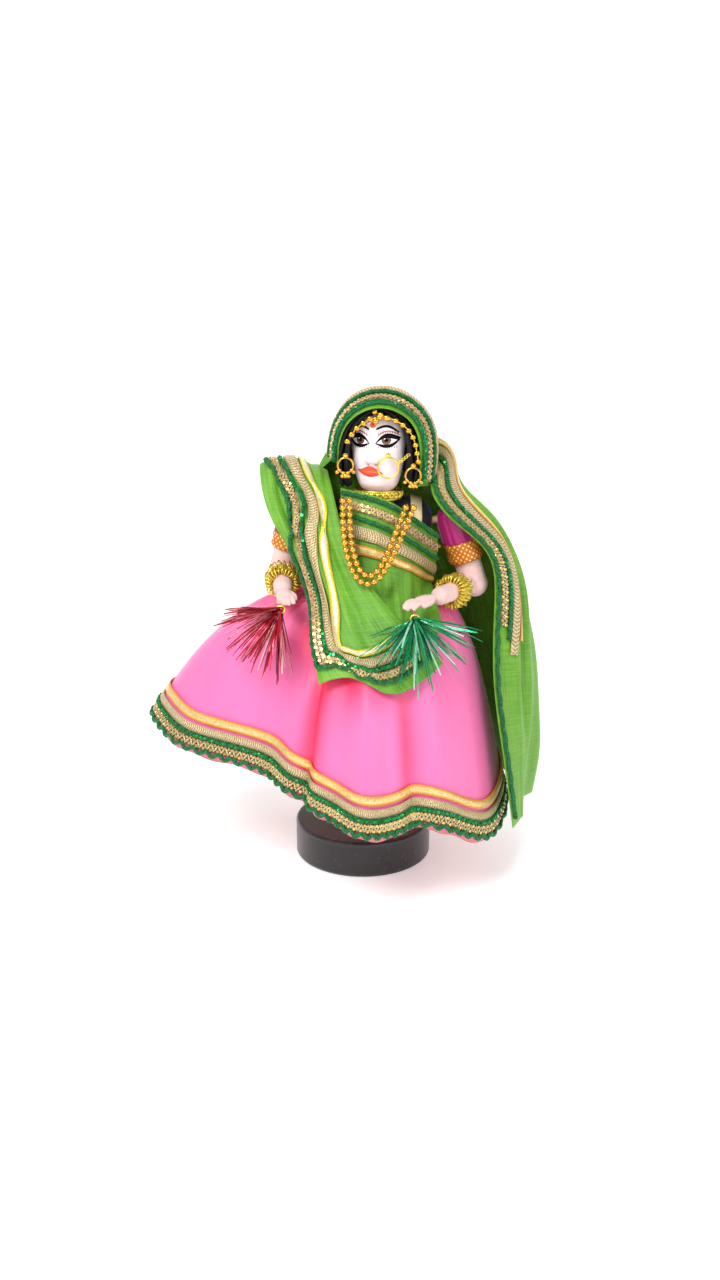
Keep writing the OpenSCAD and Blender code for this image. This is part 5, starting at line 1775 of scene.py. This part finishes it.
class DOLL_OT_hair_jewels(DollOperator):
    """Strings the beads round the face and gathers a few on the forehead"""

    bl_idname = "doll.hair_jewels"
    bl_label = "Hair beads"

    def execute(self, context):
        s = sizes()
        path = spline([HEAD + Vector(p) * MM for p in HAIR_STRING], 200)
        count = int(path_length(path) / (s.hair_bead * 1.12))
        spots = even(path, count)
        bm = bmesh.new()
        for spot in spots:
            bmesh.ops.create_uvsphere(bm, u_segments=16, v_segments=10, radius=s.hair_bead / 2, matrix=Matrix.Translation(Vector(spot)))
        finish_piece("hair_string_beads", bm, finish("gold_beads"), "head", ("hair_beads",))
        bm = bmesh.new()
        add_tube(bm, even(path, 120), 0.28 * MM, 6)
        finish_piece("hair_string_wire", bm, finish("gold_wire"), "head", ())
        bm = bmesh.new()
        cluster = [(-3.6, -13.9, 13.6), (-1.2, -14.9, 12.7), (0.6, -13.9, 15.0), (-1.6, -13.2, 16.2), (2.9, -14.3, 13.9)]
        for spot in cluster:
            matrix = Matrix.Translation(HEAD + Vector(spot) * MM)
            bmesh.ops.create_uvsphere(bm, u_segments=16, v_segments=10, radius=s.hair_bead / 2, matrix=matrix)
        finish_piece("forehead_cluster", bm, finish("gold_beads"), "head", ("forehead_beads",))
        return {"FINISHED"}


class DOLL_OT_rings(DollOperator):
    """Gilds the earrings and the nose ring and adds their beads and chain"""

    bl_idname = "doll.rings"
    bl_label = "Earrings and nose ring"

    def execute(self, context):
        for node in ("left_earring", "right_earring"):
            recoat(node, "gold_beads")
        recoat("nose_ring", "gold_wire")
        recoat("jewel_pins", "gold_wire")
        for side in ("left", "right"):
            low, high = (Vector(c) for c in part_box(f"{side}_earring"))
            ring = (low + high) / 2
            bm = bmesh.new()
            for a in np.linspace(math.radians(215), math.radians(325), 4):
                for row in (0, 1):
                    spot = ring + Vector((math.cos(a) * (2.9 + row), -0.5 * row, math.sin(a) * (2.9 + 1.3 * row))) * MM
                    bmesh.ops.create_uvsphere(bm, u_segments=12, v_segments=8, radius=0.85 * MM, matrix=Matrix.Translation(spot))
            finish_piece(f"{side}_earring_beads", bm, finish("gold_beads"), f"{side}_earring", ())
        low, high = (Vector(c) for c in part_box("nose_ring"))
        edge = Vector((high.x - 0.4 * MM, (low.y + high.y) / 2, (low.z + high.z) / 2 + 1.0 * MM))
        bm = bmesh.new()
        for k in range(5):
            spot = edge + Vector((1.0 * k, 0.5 * k, 0.75 * k)) * MM
            add_tube(bm, [spot + Vector((0.65 * math.cos(a), 0.2 * math.cos(a), 0.45 * math.sin(a))) * MM for a in np.linspace(0, TURN, 13)[:-1]], 0.2 * MM, 6, loop=True)
        finish_piece("nose_ring_chain", bm, finish("gold_wire"), "nose_ring", ())
        return {"FINISHED"}


# ---------------------------------------------------------------------------------------------
# Stage, panel and run
# ---------------------------------------------------------------------------------------------


class DOLL_OT_stage(DollOperator):
    """Sets the pale floor, the soft lights and the camera"""

    bl_idname = "doll.stage"
    bl_label = "Stage"

    def execute(self, context):
        scene = context.scene
        bm = bmesh.new()
        bmesh.ops.create_grid(bm, x_segments=2, y_segments=2, size=3.0)
        mesh = bpy.data.meshes.new("floor")
        bm.to_mesh(mesh)
        bm.free()
        floor = bpy.data.objects.new("floor", mesh)
        scene.collection.objects.link(floor)
        paper = Finish("white_paper", roughness=0.9, emission_strength=0.34)
        grain = paper.noise(paper.place("Object", (1, 1, 1)), 40, 2)
        paper.set("Base Color", paper.ramp(grain, (0.3, (0.90, 0.90, 0.90)), (0.7, (0.93, 0.93, 0.93))))
        paper.set("Emission Color", paper.ramp(grain, (0.3, (0.99, 0.99, 0.99)), (0.7, (1.0, 1.0, 1.0))))
        mesh.materials.append(paper.material)
        bm = bmesh.new()
        wall = Matrix.Translation((0, 2.4, 0)) @ Matrix.Rotation(math.pi / 2, 4, "X")
        bmesh.ops.create_grid(bm, x_segments=1, y_segments=1, size=3.0, matrix=wall)
        mesh = bpy.data.meshes.new("backdrop")
        bm.to_mesh(mesh)
        bm.free()
        backdrop = bpy.data.objects.new("backdrop", mesh)
        scene.collection.objects.link(backdrop)
        bright = Finish("backdrop_paper", roughness=0.9, emission_strength=1.0)
        grain = bright.noise(bright.place("Object", (1, 1, 1)), 40, 2)
        bright.set("Emission Color", bright.ramp(grain, (0.3, (0.99, 0.99, 0.99)), (0.7, (1.0, 1.0, 1.0))))
        mesh.materials.append(bright.material)
        world = bpy.data.worlds.new("studio")
        world.use_nodes = True
        world.node_tree.nodes["Background"].inputs["Color"].default_value = (1.0, 1.0, 1.0, 1.0)
        world.node_tree.nodes["Background"].inputs["Strength"].default_value = 0.58
        scene.world = world
        for name, place, size, power in (
            ("key", (-0.3, -0.5, 0.7), 0.3, 4.6),
            ("fill", (0.6, -0.6, 0.4), 0.5, 1.5),
        ):
            light = bpy.data.lights.new(name, "AREA")
            light.energy, light.size = power, size
            lamp = bpy.data.objects.new(name, light)
            lamp.location = place
            lamp.rotation_euler = (Vector((0, 0, 0.1)) - Vector(place)).to_track_quat("-Z", "Y").to_euler()
            scene.collection.objects.link(lamp)
        camera = bpy.data.cameras.new("camera")
        camera.lens, camera.sensor_width = 35, 36
        eye = bpy.data.objects.new("camera", camera)
        eye.location = (-0.0013, -0.4996, 0.2406)
        eye.rotation_euler = (math.radians(73.74), 0, 0)
        scene.collection.objects.link(eye)
        scene.camera = eye
        scene.view_settings.view_transform = "Standard"
        return {"FINISHED"}


STEPS = (
    DOLL_OT_stage, DOLL_OT_stand, DOLL_OT_body, DOLL_OT_skirt, DOLL_OT_hem, DOLL_OT_pallu, DOLL_OT_chest, DOLL_OT_odhni,
    DOLL_OT_arms, DOLL_OT_hands, DOLL_OT_bangles, DOLL_OT_tinsel, DOLL_OT_head, DOLL_OT_face, DOLL_OT_hair,
    DOLL_OT_necklaces, DOLL_OT_hair_jewels, DOLL_OT_rings,
)


class DOLL_PT_panel(bpy.types.Panel):
    """Lists the doll's sizes, colours and pieces"""

    bl_idname = "DOLL_PT_panel"
    bl_label = "Kathputli Doll"
    bl_space_type = "VIEW_3D"
    bl_region_type = "UI"
    bl_category = "Doll"

    def draw(self, context):
        for group in (context.scene.doll_sizes, context.scene.doll_colours):
            column = self.layout.column()
            for name in group.__annotations__:
                column.prop(group, name)
        column = self.layout.column()
        for step in STEPS:
            column.operator(step.bl_idname)


CLASSES = (DollSizes, DollColours, *STEPS, DOLL_PT_panel)


def register():
    """Adds the doll's classes and settings."""
    for cls in CLASSES:
        bpy.utils.register_class(cls)
    bpy.types.Scene.doll_sizes = bpy.props.PointerProperty(type=DollSizes)
    bpy.types.Scene.doll_colours = bpy.props.PointerProperty(type=DollColours)


def unregister():
    """Removes the doll's classes and settings."""
    del bpy.types.Scene.doll_colours
    del bpy.types.Scene.doll_sizes
    for cls in reversed(CLASSES):
        bpy.utils.unregister_class(cls)


def main():
    """Builds every piece in order."""
    register()
    for step in STEPS:
        group, name = step.bl_idname.split(".")
        getattr(getattr(bpy.ops, group), name)()


if __name__ == "__main__":
    main()
